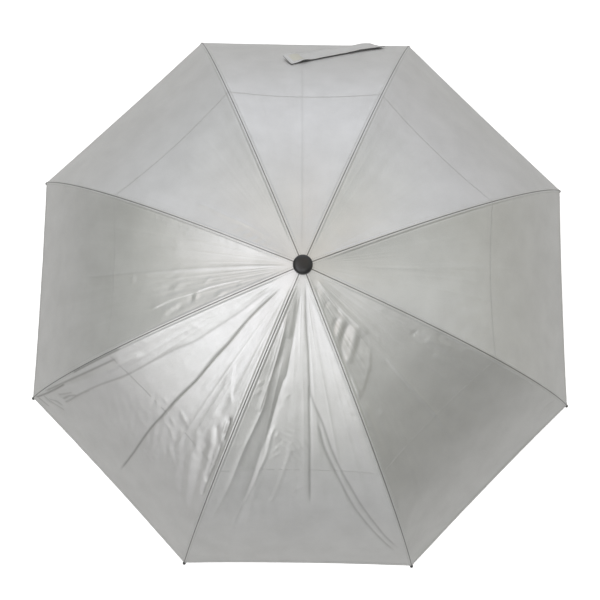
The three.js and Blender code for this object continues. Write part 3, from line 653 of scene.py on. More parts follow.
def sheet(name, points, normals, azimuth, thick, materials, labels, uv):
    """Closed thin sheet from a grid of points: outer face, inner face and four edge walls."""
    rows, cols = points.shape[:2]
    count = rows * cols
    verts = np.concatenate([points.reshape(-1, 3), (points - normals * thick).reshape(-1, 3)])
    outer = grid_faces(rows, cols)
    inner = (outer + count)[:, ::-1]

    def wall(start, end):
        return np.stack([start, end, end + count, start + count], -1)

    col, row = np.arange(cols - 1), np.arange(rows - 1) * cols
    last_row, last_col = (rows - 1) * cols, cols - 1
    walls = [wall(col + 1, col), wall(last_row + col, last_row + col + 1),
             wall(row, row + cols), wall(row + cols + last_col, row + last_col)]
    faces = np.concatenate([outer, inner, *walls])
    # the winding follows the sheet's own direction
    first, second, _, fourth = verts[faces[0]]
    if np.cross(second - first, fourth - first)[2] < 0:
        faces = faces[:, ::-1]
    lengths = [len(outer), len(inner), *map(len, walls)]
    ob = new_object(name, verts @ turn_z(azimuth).T, faces, materials,
                    slots=np.repeat([0, 1, 1, 2, 2, 2], lengths),
                    smooth=np.repeat([True, True, False, False, False, False], lengths))
    for label, value in labels.items():
        attribute = ob.data.attributes.new(label, "FLOAT", "POINT")
        attribute.data.foreach_set("value", np.tile(value.ravel(), 2).astype(np.float32))
    add_uv(ob, "cloth", np.tile(uv.reshape(-1, 2), (2, 1)))
    ob.data.set_sharp_from_angle(angle=55 * RAD)
    return ob


# ------------------------------------------------------------------ node helpers
class Nodes:
    """Short ways to add nodes to a tree."""

    def __init__(self, tree):
        self.tree = tree

    def node(self, kind, **settings):
        node = self.tree.nodes.new("ShaderNode" + kind)
        for key, value in settings.items():
            setattr(node, key, value)
        return node

    def feed(self, socket, value):
        """Links a socket to the input, or sets the input's value."""
        if isinstance(value, bpy.types.NodeSocket):
            self.tree.links.new(value, socket)
        else:
            socket.default_value = value

    def math(self, operation, *values):
        node = self.node("Math", operation=operation)
        for socket, value in zip(node.inputs, values):
            self.feed(socket, value)
        return node.outputs[0]


class Shader(Nodes):
    """A Principled material."""

    def __init__(self, name):
        self.material = bpy.data.materials.new(name)
        self.material.use_nodes = True
        super().__init__(self.material.node_tree)
        self.surface = self.tree.nodes["Principled BSDF"]
        self.coordinates = None

    def put(self, name, value):
        self.feed(self.surface.inputs[name], value)

    def coords(self, output):
        if self.coordinates is None:
            self.coordinates = self.node("TexCoord")
        return self.coordinates.outputs[output]

    def ramp(self, value, *stops):
        """Stops are (position, grey)."""
        node = self.node("ValToRGB")
        elements = node.color_ramp.elements
        while len(elements) < len(stops):
            elements.new(0.5)
        for element, (position, grey) in zip(elements, stops):
            element.position = position
            element.color = (grey, grey, grey, 1)
        self.feed(node.inputs[0], value)
        return node.outputs[0]

    def mix(self, factor, first, second):
        node = self.node("Mix", data_type="RGBA")
        self.feed(node.inputs[0], factor)
        for index, value in ((6, first), (7, second)):
            self.feed(node.inputs[index], (*value, 1) if isinstance(value, tuple) else value)
        return node.outputs[2]

    def noise(self, scale, detail=3.0, rough=0.5, coords="Object", stretch=None):
        node = self.node("TexNoise")
        self.feed(node.inputs["Scale"], scale)
        self.feed(node.inputs["Detail"], detail)
        self.feed(node.inputs["Roughness"], rough)
        vector = self.coords(coords)
        if stretch:
            mapping = self.node("Mapping")
            self.feed(mapping.inputs["Scale"], stretch)
            self.feed(mapping.inputs[0], vector)
            vector = mapping.outputs[0]
        self.feed(node.inputs["Vector"], vector)
        return node.outputs[0]

    def attribute(self, name):
        return self.node("Attribute", attribute_name=name).outputs["Fac"]

    def bump(self, height, strength, distance, after=None):
        node = self.node("Bump")
        self.feed(node.inputs["Strength"], strength)
        self.feed(node.inputs["Distance"], distance)
        self.feed(node.inputs["Height"], height)
        if after is not None:
            self.feed(node.inputs["Normal"], after)
        return node.outputs[0]

    def add(self, value, texture, amount):
        """value + texture * amount."""
        return self.math("ADD", value, self.math("MULTIPLY", texture, amount))


# ------------------------------------------------------------------ materials
WEAVE_PITCH = 0.9
STITCH_PITCH, STITCH_FILL = 2.6, 0.62


def weave(mat):
    """Plain weave height, and the cloth's flat coordinates, which are in metres."""
    flat = mat.node("SeparateXYZ")
    mat.feed(flat.inputs[0], mat.coords("UV"))
    turns = 2 * math.pi / (WEAVE_PITCH * MM)
    waves = [mat.math("SINE", mat.math("MULTIPLY", flat.outputs[k], turns)) for k in (0, 1)]
    return mat.math("MULTIPLY", *waves), flat.outputs


def stitches(mat, distance, at, half, along):
    """1 on the thread of a dashed line at a distance from an edge."""
    offset = mat.math("ABSOLUTE", mat.math("SUBTRACT", distance, at))
    near = mat.math("LESS_THAN", offset, half)
    dash = mat.math("FRACT", mat.math("DIVIDE", along, STITCH_PITCH * MM))
    return mat.math("MULTIPLY", near, mat.math("LESS_THAN", dash, STITCH_FILL))


def silver_cloth():
    mat = Shader("silver_cloth")
    threads, flat = weave(mat)
    edge, hem = mat.attribute("edge"), mat.attribute("hem")
    # mottled silver
    broad = mat.ramp(mat.noise(scale=26), (0.3, 0.0), (0.7, 1.0))
    color = mat.mix(broad, (0.585, 0.583, 0.578), (0.64, 0.638, 0.634))
    mottle = mat.ramp(mat.noise(scale=900, detail=4, rough=0.6), (0.35, 0.0), (0.65, 1.0))
    color = mat.mix(mat.math("MULTIPLY", mottle, 0.16), color, (0.78, 0.78, 0.775))
    # painted shade: a dark line in the seam's gutter between panels
    seam_gutter_shade = mat.ramp(mat.math("DIVIDE", edge, 2.0), (0.0, 0.0), (0.28, 0.15), (0.5, 1.0))
    color = mat.mix(mat.math("SUBTRACT", 1.0, seam_gutter_shade), color, (0.16, 0.158, 0.155))
    # seam and hem threads
    thread = mat.math("MAXIMUM", stitches(mat, edge, at=3.4, half=0.26, along=flat[1]),
                      stitches(mat, hem, at=8.1, half=0.28, along=flat[0]))
    color = mat.mix(mat.math("MULTIPLY", thread, 0.75), color, (0.42, 0.42, 0.42))
    # painted shade along hard folds, then the rubbed and rolled edge of the hem
    color = mat.mix(mat.attribute("fold"), color, (0.20, 0.198, 0.19))
    rub = mat.ramp(mat.math("DIVIDE", hem, 3.0), (0.0, 1.0), (0.6, 0.0))
    color = mat.mix(mat.math("MULTIPLY", rub, 0.35), color, (0.33, 0.325, 0.32))
    roll = mat.ramp(mat.math("DIVIDE", hem, 4.0), (0.0, 1.0), (0.5, 0.9), (0.6, 0.0))
    color = mat.mix(mat.math("MULTIPLY", roll, 0.9), color, (0.055, 0.054, 0.053))
    mat.put("Base Color", color)
    mat.put("Metallic", 0.8)
    mat.put("Roughness", mat.add(0.35, mat.noise(scale=140, detail=4, rough=0.6), 0.13))
    mat.put("Sheen Weight", 0.05)
    mat.put("Sheen Roughness", 0.5)
    # weave, grain, long streaks and sunken threads
    bump = mat.bump(threads, strength=0.22, distance=0.00012)
    bump = mat.bump(mat.noise(scale=420, detail=5, rough=0.65),
                    strength=0.35, distance=0.00035, after=bump)
    bump = mat.bump(mat.noise(scale=60, rough=0.6, stretch=(1, 1, 0.25)),
                    strength=0.25, distance=0.0009, after=bump)
    sunk = mat.math("SUBTRACT", 0.0, mat.math("SUBTRACT", 1.0, thread))
    mat.put("Normal", mat.bump(sunk, strength=0.5, distance=0.00025, after=bump))
    return mat.material


def black_cloth():
    mat = Shader("black_cloth")
    threads, _ = weave(mat)
    mat.put("Base Color", mat.mix(mat.noise(scale=60, detail=4, rough=0.6),
                                  (0.012, 0.012, 0.014), (0.026, 0.026, 0.029)))
    mat.put("Roughness", mat.add(0.5, mat.noise(scale=200, rough=0.6), 0.25))
    mat.put("Sheen Weight", 0.35)
    mat.put("Sheen Roughness", 0.45)
    mat.put("Sheen Tint", (0.55, 0.56, 0.6, 1))
    mat.put("Normal", mat.bump(mat.noise(scale=420, detail=5, rough=0.65),
                               strength=0.3, distance=0.0003,
                               after=mat.bump(threads, strength=0.5, distance=0.0002)))
    return mat.material


def hem_edge():
    mat = Shader("hem_edge")
    mat.put("Base Color", mat.mix(mat.noise(scale=500), (0.06, 0.06, 0.062), (0.13, 0.13, 0.13)))
    mat.put("Roughness", 0.75)
    mat.put("Normal", mat.bump(mat.noise(scale=1600), strength=0.5, distance=0.0002))
    return mat.material


def strap_silver():
    """Strap cloth with a pile pad inside a stitched box; box is 1 at the pad's border."""
    mat = Shader("strap_silver")
    threads, flat = weave(mat)
    edge, box = mat.attribute("edge"), mat.attribute("box")
    color = mat.mix(mat.noise(scale=60, detail=4, rough=0.6),
                    (0.55, 0.55, 0.545), (0.64, 0.64, 0.635))
    along = mat.math("ADD", flat[0], flat[1])
    thread = mat.math("MAXIMUM", stitches(mat, edge, at=2.9, half=0.22, along=along),
                      stitches(mat, box, at=0.9, half=0.02, along=along))
    pile = mat.noise(scale=900, detail=4, rough=0.7)
    pad = mat.math("LESS_THAN", box, 0.82)
    color = mat.mix(mat.math("MULTIPLY", pad, 0.75), color,
                    mat.mix(pile, (0.44, 0.435, 0.37), (0.62, 0.61, 0.53)))
    color = mat.mix(mat.math("MULTIPLY", thread, 0.8), color, (0.36, 0.36, 0.36))
    border = mat.ramp(edge, (0.0, 1.0), (0.35, 0.0))
    color = mat.mix(mat.math("MULTIPLY", border, 0.8), color, (0.08, 0.08, 0.08))
    mat.put("Base Color", color)
    mat.put("Metallic", mat.math("SUBTRACT", 0.6, mat.math("MULTIPLY", pad, 0.55)))
    mat.put("Roughness", mat.add(mat.add(0.42, pad, 0.4),
                                 mat.noise(scale=140, detail=4, rough=0.6), 0.16))
    bump = mat.bump(threads, strength=0.3, distance=0.00014)
    bump = mat.bump(mat.noise(scale=420, detail=5, rough=0.65),
                    strength=0.35, distance=0.0003, after=bump)
    mat.put("Normal", mat.bump(mat.math("MULTIPLY", pile, pad),
                               strength=0.5, distance=0.0006, after=bump))
    return mat.material


def moulded(name, dark, light, rough, grain=900):
    """Moulded plastic: fine grain and faint handling marks."""
    mat = Shader(name)
    mat.put("Base Color", mat.mix(mat.noise(scale=45, detail=4, rough=0.6), dark, light))
    marks = mat.ramp(mat.noise(scale=70, detail=5, rough=0.7, stretch=(1, 1, 3)),
                     (0.45, 0.0), (0.75, 1.0))
    mat.put("Roughness", mat.add(rough, marks, -0.12))
    mat.put("Specular IOR Level", 0.5)
    mat.put("Normal", mat.bump(mat.noise(scale=grain, rough=0.6),
                               strength=0.3, distance=0.00024))
    return mat.material


def rod_material():
    """Pultruded rod: fine lengthwise fibre streaks under a thin clear skin."""
    mat = Shader("rib_fibre")
    fibre = mat.noise(scale=1300, detail=4, rough=0.6, coords="UV", stretch=(1, 0.02, 1))
    mat.put("Base Color", mat.mix(fibre, (0.010, 0.010, 0.012), (0.035, 0.036, 0.042)))
    mat.put("Metallic", 0.0)
    mat.put("Roughness", mat.add(0.26, fibre, 0.15))
    mat.put("Coat Weight", 0.3)
    mat.put("Coat Roughness", 0.2)
    mat.put("Normal", mat.bump(fibre, strength=0.3, distance=0.00008))
    return mat.material


def metal(name, dark, light, rough, metallic, stretch):
    mat = Shader(name)
    brushed = mat.noise(scale=1500, detail=4, rough=0.6, stretch=stretch)
    mat.put("Base Color", mat.mix(brushed, dark, light))
    mat.put("Metallic", metallic)
    scuff = mat.ramp(mat.noise(scale=30, detail=5, rough=0.7, stretch=(1, 1, 0.4)),
                     (0.5, 0.0), (0.8, 1.0))
    mat.put("Roughness", mat.add(rough, scuff, 0.14))
    mat.put("Normal", mat.bump(brushed, strength=0.2, distance=0.00006))
    return mat.material


def foam_material():
    mat = Shader("foam")
    cells = mat.node("TexVoronoi")
    mat.feed(cells.inputs["Scale"], 900)
    mat.feed(cells.inputs["Vector"], mat.coords("Object"))
    mat.put("Base Color", mat.mix(mat.noise(scale=80, detail=4, rough=0.6),
                                  (0.017, 0.017, 0.018), (0.036, 0.036, 0.038)))
    worn = mat.ramp(mat.noise(scale=22), (0.4, 0.0), (0.8, 1.0))
    mat.put("Roughness", mat.math("SUBTRACT", 0.93, mat.math("MULTIPLY", worn, 0.16)))
    mat.put("Sheen Weight", 0.15)
    bump = mat.bump(cells.outputs["Distance"], strength=0.55, distance=0.0003)
    mat.put("Normal", mat.bump(mat.noise(scale=260, detail=5, rough=0.6),
                               strength=0.3, distance=0.0004, after=bump))
    return mat.material


def cord_material():
    mat = Shader("cord_braid")
    mat.put("Base Color", mat.mix(mat.noise(scale=1200, detail=4, rough=0.6),
                                  (0.014, 0.014, 0.016), (0.05, 0.05, 0.054)))
    mat.put("Roughness", 0.82)
    mat.put("Sheen Weight", 0.5)
    mat.put("Normal", mat.bump(mat.noise(scale=2500, detail=4, rough=0.6),
                               strength=0.6, distance=0.0002))
    return mat.material


SILVER, BLACK_IN, HEM_EDGE = silver_cloth(), black_cloth(), hem_edge()
STRAP_SILVER = strap_silver()
PLASTIC = moulded("moulded_black", dark=(0.013, 0.013, 0.014), light=(0.024, 0.024, 0.026),
                  rough=0.42)
CAP_PLASTIC = moulded("cap_black", dark=(0.010, 0.010, 0.011), light=(0.018, 0.018, 0.019),
                      rough=0.34, grain=1100)
TIP_PLASTIC = moulded("tip_black", dark=(0.012, 0.012, 0.013), light=(0.022, 0.022, 0.024),
                      rough=0.36)
FIBRE = rod_material()
SHAFT_METAL = metal("shaft_anodised", dark=(0.028, 0.030, 0.034), light=(0.055, 0.057, 0.064),
                    rough=0.30, metallic=0.85, stretch=(1, 1, 0.03))
WIRE = metal("drawn_wire", dark=(0.42, 0.42, 0.43), light=(0.62, 0.62, 0.63),
             rough=0.28, metallic=1.0, stretch=(1, 1, 1))
FOAM, CORD = foam_material(), cord_material()

# ------------------------------------------------------------------ canopy
PITCH = 3.2                                 # grid pitch
FINE_PITCH = {4: 2.1, 5: 1.9, 6: 1.9, 7: 2.1}   # on the most creased panels
# Distances of the last rows from the hem, and of the first columns from a seam
HEM_ROWS = np.array([12, 10.6, 9.6, 9.0, 8.6, 8.2, 7.8, 7.3, 6.2, 4.6, 3.0, 1.8, 1.0, 0.5,
                     0.2, 0.0])
EDGE_COLUMNS = np.array([0.0, 0.35, 0.75, 1.2, 1.8, 2.5, 3.3, 4.1, 4.8, 5.4, 6.2, 7.6])


def row_shares(pitch):
    """Rows above the flex line and below it, both with the line itself."""
    upper = np.linspace(0, FLEX_SHARE, int(FLEX_SHARE * SEAM_LENGTH / pitch) + 1)
    band = HEM_END - 14 / SEAM_LENGTH
    lower = np.linspace(FLEX_SHARE, band, int((band - FLEX_SHARE) * SEAM_LENGTH / pitch) + 1)
    return upper, np.concatenate([lower, HEM_END - HEM_ROWS / SEAM_LENGTH])


def column_places(half, inner):
    """Places across a row, from -half to half, dense near the seams."""
    near = EDGE_COLUMNS * min(1.0, half / 26)
    inward = np.concatenate([near, np.linspace(near[-1], half, inner + 1)[1:]])
    places = -(half - inward)
    return np.concatenate([places, -places[:-1][::-1]])


def panel_grid(panel, rows, inner):
    """Shares, across values, outer points, normals and painted crease shade of a panel, in its
    frame.
    """
    halves = [float(half_width(row)) for row in rows]
    across = np.array([column_places(half, inner) / half for half in halves])
    share = np.repeat(rows[:, None], across.shape[1], 1)
    normals = surface_normals(share, across)
    points = surface(share, across)
    # hairline gap between neighbours
    points[..., 1] -= np.sign(across) * 0.05 * (np.abs(across) > 0.999)
    rise, crease_shade = relief(panel, share, across)
    return share, across, points + normals * rise[..., None], normals, crease_shade


def make_panel(panel):
    pitch = FINE_PITCH.get(panel, PITCH)
    upper, lower = row_shares(pitch)
    flex = len(upper) - 1
    inner = int((half_width(HEM_END) - EDGE_COLUMNS[-1]) / pitch)
    grid = panel_grid(panel, np.concatenate([upper, lower[1:]]), inner)
    azimuth = panel_azimuth(panel)
    for part, body in (("upper", f"panel_{panel}"), ("lower", f"panel_{panel}_hem")):
        if part == "upper":
            # a short tongue under the lower piece keeps the flex joint closed as it bends
            share, across, points, normals, crease_shade = (
                np.concatenate([field[:flex + 1],
                                (0.8 * field[flex] + 0.2 * field[flex + 1])[None],
                                field[flex + 2:flex + 5]])
                for field in grid)
            points[flex + 1:] -= 0.5 * normals[flex + 1:]
        else:
            share, across, points, normals, crease_shade = (field[flex:] for field in grid)
        half = half_width(share)
        ob = sheet(f"canopy_{panel}_{part}", points, normals, azimuth, thick=SHEET,
                   materials=(SILVER, BLACK_IN, HEM_EDGE),
                   labels={"edge": (1 - np.abs(across)) * half,
                           # the fold label carries the painted crease shade
                           "hem": (HEM_END - share) * SEAM_LENGTH, "fold": crease_shade},
                   uv=np.stack([across * half * MM, share * SEAM_LENGTH * MM], -1))
        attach(ob, body)
        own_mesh(ob)
        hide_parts(f"panel_{panel}_{part}")


for panel in range(1, PANELS + 1):
    make_panel(panel)

# ------------------------------------------------------------------ seam tapes
TAPE_COLUMNS = [8.0, 6.5, 5.0, 3.4, 1.8, 0.7, 0.0]      # distances from the seam


def tape_half(panel, side):
    """Points and normals beside one seam of a panel, in the rib's frame, and the shares."""
    share, across, points, normals, _ = panel_grid(
        panel, np.linspace(0.02, FLEX_SHARE - 0.004, 180), 60)
    # columns run away from the seam
    away = ((1 - side * across) * half_width(share))[:, ::-side]
    turn = turn_z(-side * HALF_ANGLE)

    def sample(field):
        rows = [[np.interp(TAPE_COLUMNS, gaps, row[:, k]) for k in range(3)]
                for gaps, row in zip(away, field[:, ::-side])]
        return np.array(rows).transpose(0, 2, 1) @ turn.T

    return sample(points), sample(normals), share[:, :1]


def make_tape(rib):
    """Narrow tape on the rib side of a seam, which fills the fold when the canopy is down."""
    *before, share = tape_half(rib - 1 if rib > 1 else PANELS, 1)
    *after, _ = tape_half(rib, -1)
    points, normals = (
        np.concatenate([one[:, :-1], (one[:, -1:] + two[:, -1:]) / 2, two[:, :-1][:, ::-1]], 1)
        for one, two in zip(before, after))
    normals /= np.linalg.norm(normals, axis=-1)[..., None]
    x = np.array([-column for column in TAPE_COLUMNS] + TAPE_COLUMNS[:-1][::-1])
    share, x = np.broadcast_arrays(share, x[None])
    # an edge distance of 30 keeps the seam's line and thread off the tape
    ob = sheet(f"seam_tape_{rib}", points - normals * (SHEET + 0.1), normals, rib_azimuth(rib),
               thick=0.15, materials=(SILVER, BLACK_IN, BLACK_IN),
               labels={"edge": 30 + 0 * x, "hem": (HEM_END - share) * SEAM_LENGTH,
                       "fold": 0 * x},
               uv=np.stack([x * MM, share * SEAM_LENGTH * MM], -1))
    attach(ob, f"rib_{rib}")


for rib in range(1, PANELS + 1):
    make_tape(rib)

# ------------------------------------------------------------------ tie strap
# The strap lies on panel 2, from x = 127 near the hem to x = -29 at its free end
STRAP_X, STRAP_SHARE = (127.0, -29.0), (0.947, 0.762)
STRAP_SPREAD, STRAP_SKEW = 27.0, 14.0       # laid width along the seams, and its slant
STRAP_LENGTH, STRAP_WIDTH = 186.0, 23.0     # flat size
PAD_CENTRE, PAD_HALF_LENGTH, PAD_HALF_WIDTH = 17, 11.5, 9.0     # centre from the free end


def make_strap():
    t, v = np.meshgrid(np.linspace(0, 1, 110), np.linspace(-0.5, 0.5, 22), indexing="ij")
    x = STRAP_X[0] + (STRAP_X[1] - STRAP_X[0]) * t - STRAP_SKEW * v
    share = STRAP_SHARE[0] + (STRAP_SHARE[1] - STRAP_SHARE[0]) * t
    share = share + v * STRAP_SPREAD / SEAM_LENGTH
    across = -x / half_width(share)
    normals = surface_normals(share, across)
    # the strap lies loosely: both edges lift a little, most at the free end
    rise = 0.9 + 0.3 * np.sin(np.pi * t)
    cap_side = np.clip(-v * 2, 0, 1) ** 1.5
    rise = rise + cap_side * (0.5 + 1.7 * smoothstep(0.46, 0.25, t)
                              + 2.4 * np.exp(-((t - 0.865) / 0.055) ** 2))
    hem_lift = (3.6 + 3.2 * np.exp(-((t - 0.92) / 0.07) ** 2)
                + 2.0 * np.exp(-((t - 0.14) / 0.1) ** 2) - 2.2 * smoothstep(0.06, 0.0, t))
    rise = rise + (0.5 + v) * hem_lift
    # one slanting crease and slight unevenness
    rise = rise + 0.30 * np.exp(-(((t - 0.62) * STRAP_LENGTH + v * 20) / 5) ** 2)
    rise = rise + 0.15 * noise(t * 18, v * 4 + 9, seed=4)
    # turned border and its stitch line
    edge = np.minimum(np.minimum(t, 1 - t) * STRAP_LENGTH, (0.5 - np.abs(v)) * STRAP_WIDTH)
    rise = rise + 0.18 * smoothstep(2.9, 2.2, edge) - 0.16 * np.exp(-((edge - 2.9) / 0.45) ** 2)
    # pad with its stitch line
    box = np.maximum(np.abs((1 - t) * STRAP_LENGTH - PAD_CENTRE) / PAD_HALF_LENGTH,
                     np.abs(v * STRAP_WIDTH) / PAD_HALF_WIDTH)
    rise = rise + 0.42 * smoothstep(1.04, 0.96, box) - 0.2 * np.exp(-((box - 0.9) / 0.035) ** 2)
    ob = sheet("strap_cloth", surface(share, across) + normals * rise[..., None], normals,
               panel_azimuth(2), thick=0.7, materials=(STRAP_SILVER, BLACK_IN, BLACK_IN),
               labels={"edge": edge, "box": box},
               uv=np.stack([t * STRAP_LENGTH * MM, v * STRAP_WIDTH * MM], -1))
    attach(ob, "tie_strap")
    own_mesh(ob)
    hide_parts("tie_strap")


make_strap()

# ------------------------------------------------------------------ ribs, tips, stretchers
EYE_GAP = START_RADIUS - CROWN_RADIUS       # crown eye to the start of the cloth
BRACKET_SHARE = (JOINT_ARC - EYE_GAP) / SEAM_LENGTH
# pins at a stretcher's two ends, as (r, z)
BRACKET_PIN = np.array(seam(BRACKET_SHARE, ROD_DROP + BRACKET_DROP))
RUNNER_PIN = np.array([RUNNER_RADIUS, BRACKET_PIN[1] - math.sqrt(
    STRETCHER_LENGTH ** 2 - (BRACKET_PIN[0] - RUNNER_RADIUS) ** 2)])
# Profiles (r, z)
RIVET_HEAD = [(0, -0.5), (1.35, -0.5), (1.35, 0.0), (1.1, 0.35), (0.6, 0.55), (0, 0.6)]
RIVET_PIN = [(0, -2.6), (0.8, -2.6), (0.8, 2.6), (0, 2.6)]
BALL_TIP = [(0, 0.35), (1.9, 0.35), (2.15, 0.6), (2.3, 1.2), (2.3, 2.9), (2.1, 3.2), (2.1, 3.5),
            (2.35, 4.0), (2.6, 4.7), (2.65, 5.4), (2.5, 6.2), (2.0, 7.0), (1.2, 7.6),
            (0.5, 7.85), (0, 7.9)]


def eye(centre, radius, bore, width, turn):
    """Flat ring across the rib plane, with small chamfers."""
    half, cut = width / 2, 0.15
    profile = [(bore, -half), (radius - cut, -half), (radius, -half + cut),
               (radius, half - cut), (radius - cut, half), (bore, half), (bore, -half)]
    return lathe("part", profile, 28, PLASTIC, centre=place(turn, *centre), axis=turn[:, 1])


def block(size, centre, tilt, turn, bevel, y=0.0):
    """Bevelled plastic block. size: along the rib, across the rib plane, through the rib."""
    bm = bmesh.new()
    bmesh.ops.create_cube(bm, size=1)
    for vert in bm.verts:
        vert.co = Vector([a * b for a, b in zip(vert.co, size)])
    bmesh.ops.bevel(bm, geom=bm.edges[:] + bm.verts[:], offset=bevel, segments=2,
                    profile=0.6, affect="EDGES")
    bm.verts.index_update()
    verts = np.array([tuple(vert.co) for vert in bm.verts])
    faces = [[vert.index for vert in face.verts] for face in bm.faces]
    bm.free()
    verts = verts @ np.array(Matrix.Rotation(tilt, 3, "Y")).T + (centre[0], y, centre[1])
    return new_object("part", verts @ turn.T, faces, (PLASTIC,))


def coordinates(mesh):
    co = np.zeros(len(mesh.vertices) * 3, np.float32)
    mesh.vertices.foreach_get("co", co)
    return co.reshape(-1, 3)


def join(name, parts):
    """One object from several that have one material each."""
    materials, verts, faces, slots = [], [], [], []
    count = 0
    for part in parts:
        mesh = part.data
        if mesh.materials[0] not in materials:
            materials.append(mesh.materials[0])
        slots += [materials.index(mesh.materials[0])] * len(mesh.polygons)
        faces += [[count + k for k in face.vertices] for face in mesh.polygons]
        verts.append(coordinates(mesh).astype(float) / MM)
        count += len(mesh.vertices)
    ob = new_object(name, np.concatenate(verts), faces, materials, slots)
    ob.data.set_sharp_from_angle(angle=35 * RAD)
    for part in parts:
        bpy.data.objects.remove(part, do_unlink=True)
    return ob


def make_rod(rib, turn):
    """Rib rod, one piece from the crown shank to the tip."""
    sides = 16
    arcs = np.concatenate([[-EYE_GAP + 4.6], np.linspace(8, SEAM_LENGTH + 4.0, 150)])
    path = place(turn, *seam(arcs / SEAM_LENGTH, ROD_DROP))
    rod = sweep(path, ROD_RADIUS, sides, turn, FIBRE, name=f"rib_{rib}_rod")
    index = np.arange(len(rod.data.vertices))
    add_uv(rod, "rod", np.stack([index % sides * 0.0008, index // sides * 0.004], -1))
    start, end = (tuple(place(turn, *seam(FLEX_SHARE + shift, ROD_DROP)) * MM)
                  for shift in (-0.10, 0.10))
    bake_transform(rod)
    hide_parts(f"rib_{rib}_inner", f"rib_{rib}_outer")


def make_rib_eye(rib, turn):
    """Rib end with its eye on the crown wire."""
    tilt = float(slope(0.0))
    centre = (CROWN_RADIUS + 3.4 * math.cos(tilt), CROWN_Z - 3.4 * math.sin(tilt))
    path = place(turn, *seam(np.linspace(4.0, 11.0, 8) / SEAM_LENGTH, ROD_DROP))
    ob = join(f"rib_{rib}_eye", [
        eye((CROWN_RADIUS, CROWN_Z), radius=1.7, bore=0.86, width=1.7, turn=turn),
        block((3.6, 1.7, 2.2), centre, tilt, turn, bevel=0.25),
        sweep(path, 2.0, 20, turn, PLASTIC)])
    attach(ob, f"rib_{rib}")


def make_bracket(rib, turn):
    """Clamp on the rod, two ears and a rivet with domed heads."""
    tilt = float(slope(BRACKET_SHARE))
    axis_point = np.array(seam(BRACKET_SHARE, ROD_DROP))
    down = np.array([-math.sin(tilt), -math.cos(tilt)])
    parts = [block((13, 5.0, 4.4), axis_point + down * 0.35, tilt, turn, bevel=0.9)]
    for side in (-1, 1):
        parts.append(block((5.2, 1.2, 6.2), axis_point + down * 3.6, tilt, turn, bevel=0.45,
                           y=side * 1.95))
    for side in (-1, 1):
        parts.append(lathe("part", RIVET_HEAD, 20, WIRE,
                           centre=place(turn, *BRACKET_PIN, y=side * 2.75),
                           axis=place(turn, 0.0, 0.0, y=side)))
    parts.append(lathe("part", RIVET_PIN, 14, WIRE, centre=place(turn, *BRACKET_PIN),
                       axis=turn[:, 1]))
    ob = join(f"rib_{rib}_bracket", parts)
    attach(ob, f"rib_{rib}")


def make_tip(rib, turn):
    tilt = float(slope(1.0))
    ob = lathe(f"rib_{rib}_ball_tip", BALL_TIP, 28, TIP_PLASTIC,
               centre=place(turn, *seam(1.0, ROD_DROP)),
               axis=place(turn, math.cos(tilt), -math.sin(tilt)), sharp=60)
    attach(ob, f"rib_{rib}_end")
    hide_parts(f"rib_{rib}_tip")


def make_stretcher(rib, turn):
    """Round rod between two flat ends, with a sleeve and an eye at each."""
    way = (BRACKET_PIN - RUNNER_PIN) / STRETCHER_LENGTH

    def line(start, distances):
        return place(turn, *(start + way * distances[:, None]).T)

    tilt = math.atan2(-way[1], way[0])
    rod = line(RUNNER_PIN, np.linspace(4.6, STRETCHER_LENGTH - 4.8, 60))
    sleeve = np.linspace(0, 9, 6)
    ob = join(f"stretcher_{rib}_rod", [
        sweep(rod, 1.5, 16, turn, FIBRE),
        block((5.4, 1.65, 2.3), RUNNER_PIN + way * 3.4, tilt, turn, bevel=0.3),
        block((5.4, 1.65, 2.5), BRACKET_PIN - way * 3.6, tilt, turn, bevel=0.3),
        sweep(line(RUNNER_PIN + way * 5.0, sleeve), 1.85, 18, turn, PLASTIC),
        sweep(line(BRACKET_PIN - way * 5.2, -sleeve), 1.85, 18, turn, PLASTIC),
        eye(RUNNER_PIN, radius=1.6, bore=0.86, width=1.65, turn=turn),
        eye(BRACKET_PIN, radius=1.8, bore=1.1, width=1.65, turn=turn)])
    co = coordinates(ob.data)
    along = (co - place(turn, *RUNNER_PIN) * MM) @ place(turn, *way)
    add_uv(ob, "rod", np.stack([co @ turn[:, 1], along], -1))
    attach(ob, f"stretcher_{rib}")
    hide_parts(f"stretcher_{rib}")


for rib in range(1, PANELS + 1):
    rib_turn = turn_z(rib_azimuth(rib))
    for make in (make_rod, make_rib_eye, make_bracket, make_tip, make_stretcher):
        make(rib, rib_turn)

# ------------------------------------------------------------------ cap, grip and cord
CAP_BORE, CAP_BORE_TOP = 5.1, CROWN_Z + 11.4
CAP_Z = TOP_Z + 0.75
# (r, z above the cap's underside)
CAP_PROFILE = [(CAP_BORE, 0), (12.2, 0), (12.75, 0.35), (12.9, 0.8), (12.9, 5.2), (12.75, 6.6),
               (12.2, 7.9), (11.3, 9.0), (10.0, 9.8), (8.2, 10.4), (6.0, 10.75), (3.4, 10.93),
               (1.2, 10.99), (0, 11.0)]
# (r, z)
GRIP_PROFILE = np.array([
    (13.2, 8.4), (14.0, 9.2), (14.35, 11.0), (14.5, 17), (13.9, 28), (13.45, 42), (13.3, 58),
    (13.6, 72), (14.1, 86), (14.5, 100), (14.3, 107), (13.7, 112), (12.6, 115.6),
    (11.2, 117.4), (9.8, 118)])
GRIP_BORE = 5.05
CORD_TOP = 121.2
# Half of the cord's loop: (x, y, z from its top)
CORD_HALF = [(0, -11.2, 0), (3.2, -11.5, -0.2), (6.8, -14.6, -2.4), (9, -18.4, -9),
             (10.2, -19.4, -26), (11.2, -19.2, -50), (10.4, -18.8, -72), (6.4, -18.6, -88),
             (0, -18.6, -93)]


def make_cap():
    profile = [(0, CAP_BORE_TOP), (CAP_BORE, CAP_BORE_TOP)]
    profile += [(r, CAP_Z + z) for r, z in CAP_PROFILE]
    cap = oriented(lathe("cap_dome", profile, 96, CAP_PLASTIC, sharp=40))
    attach(cap, "frame")
    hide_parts("top_cap")


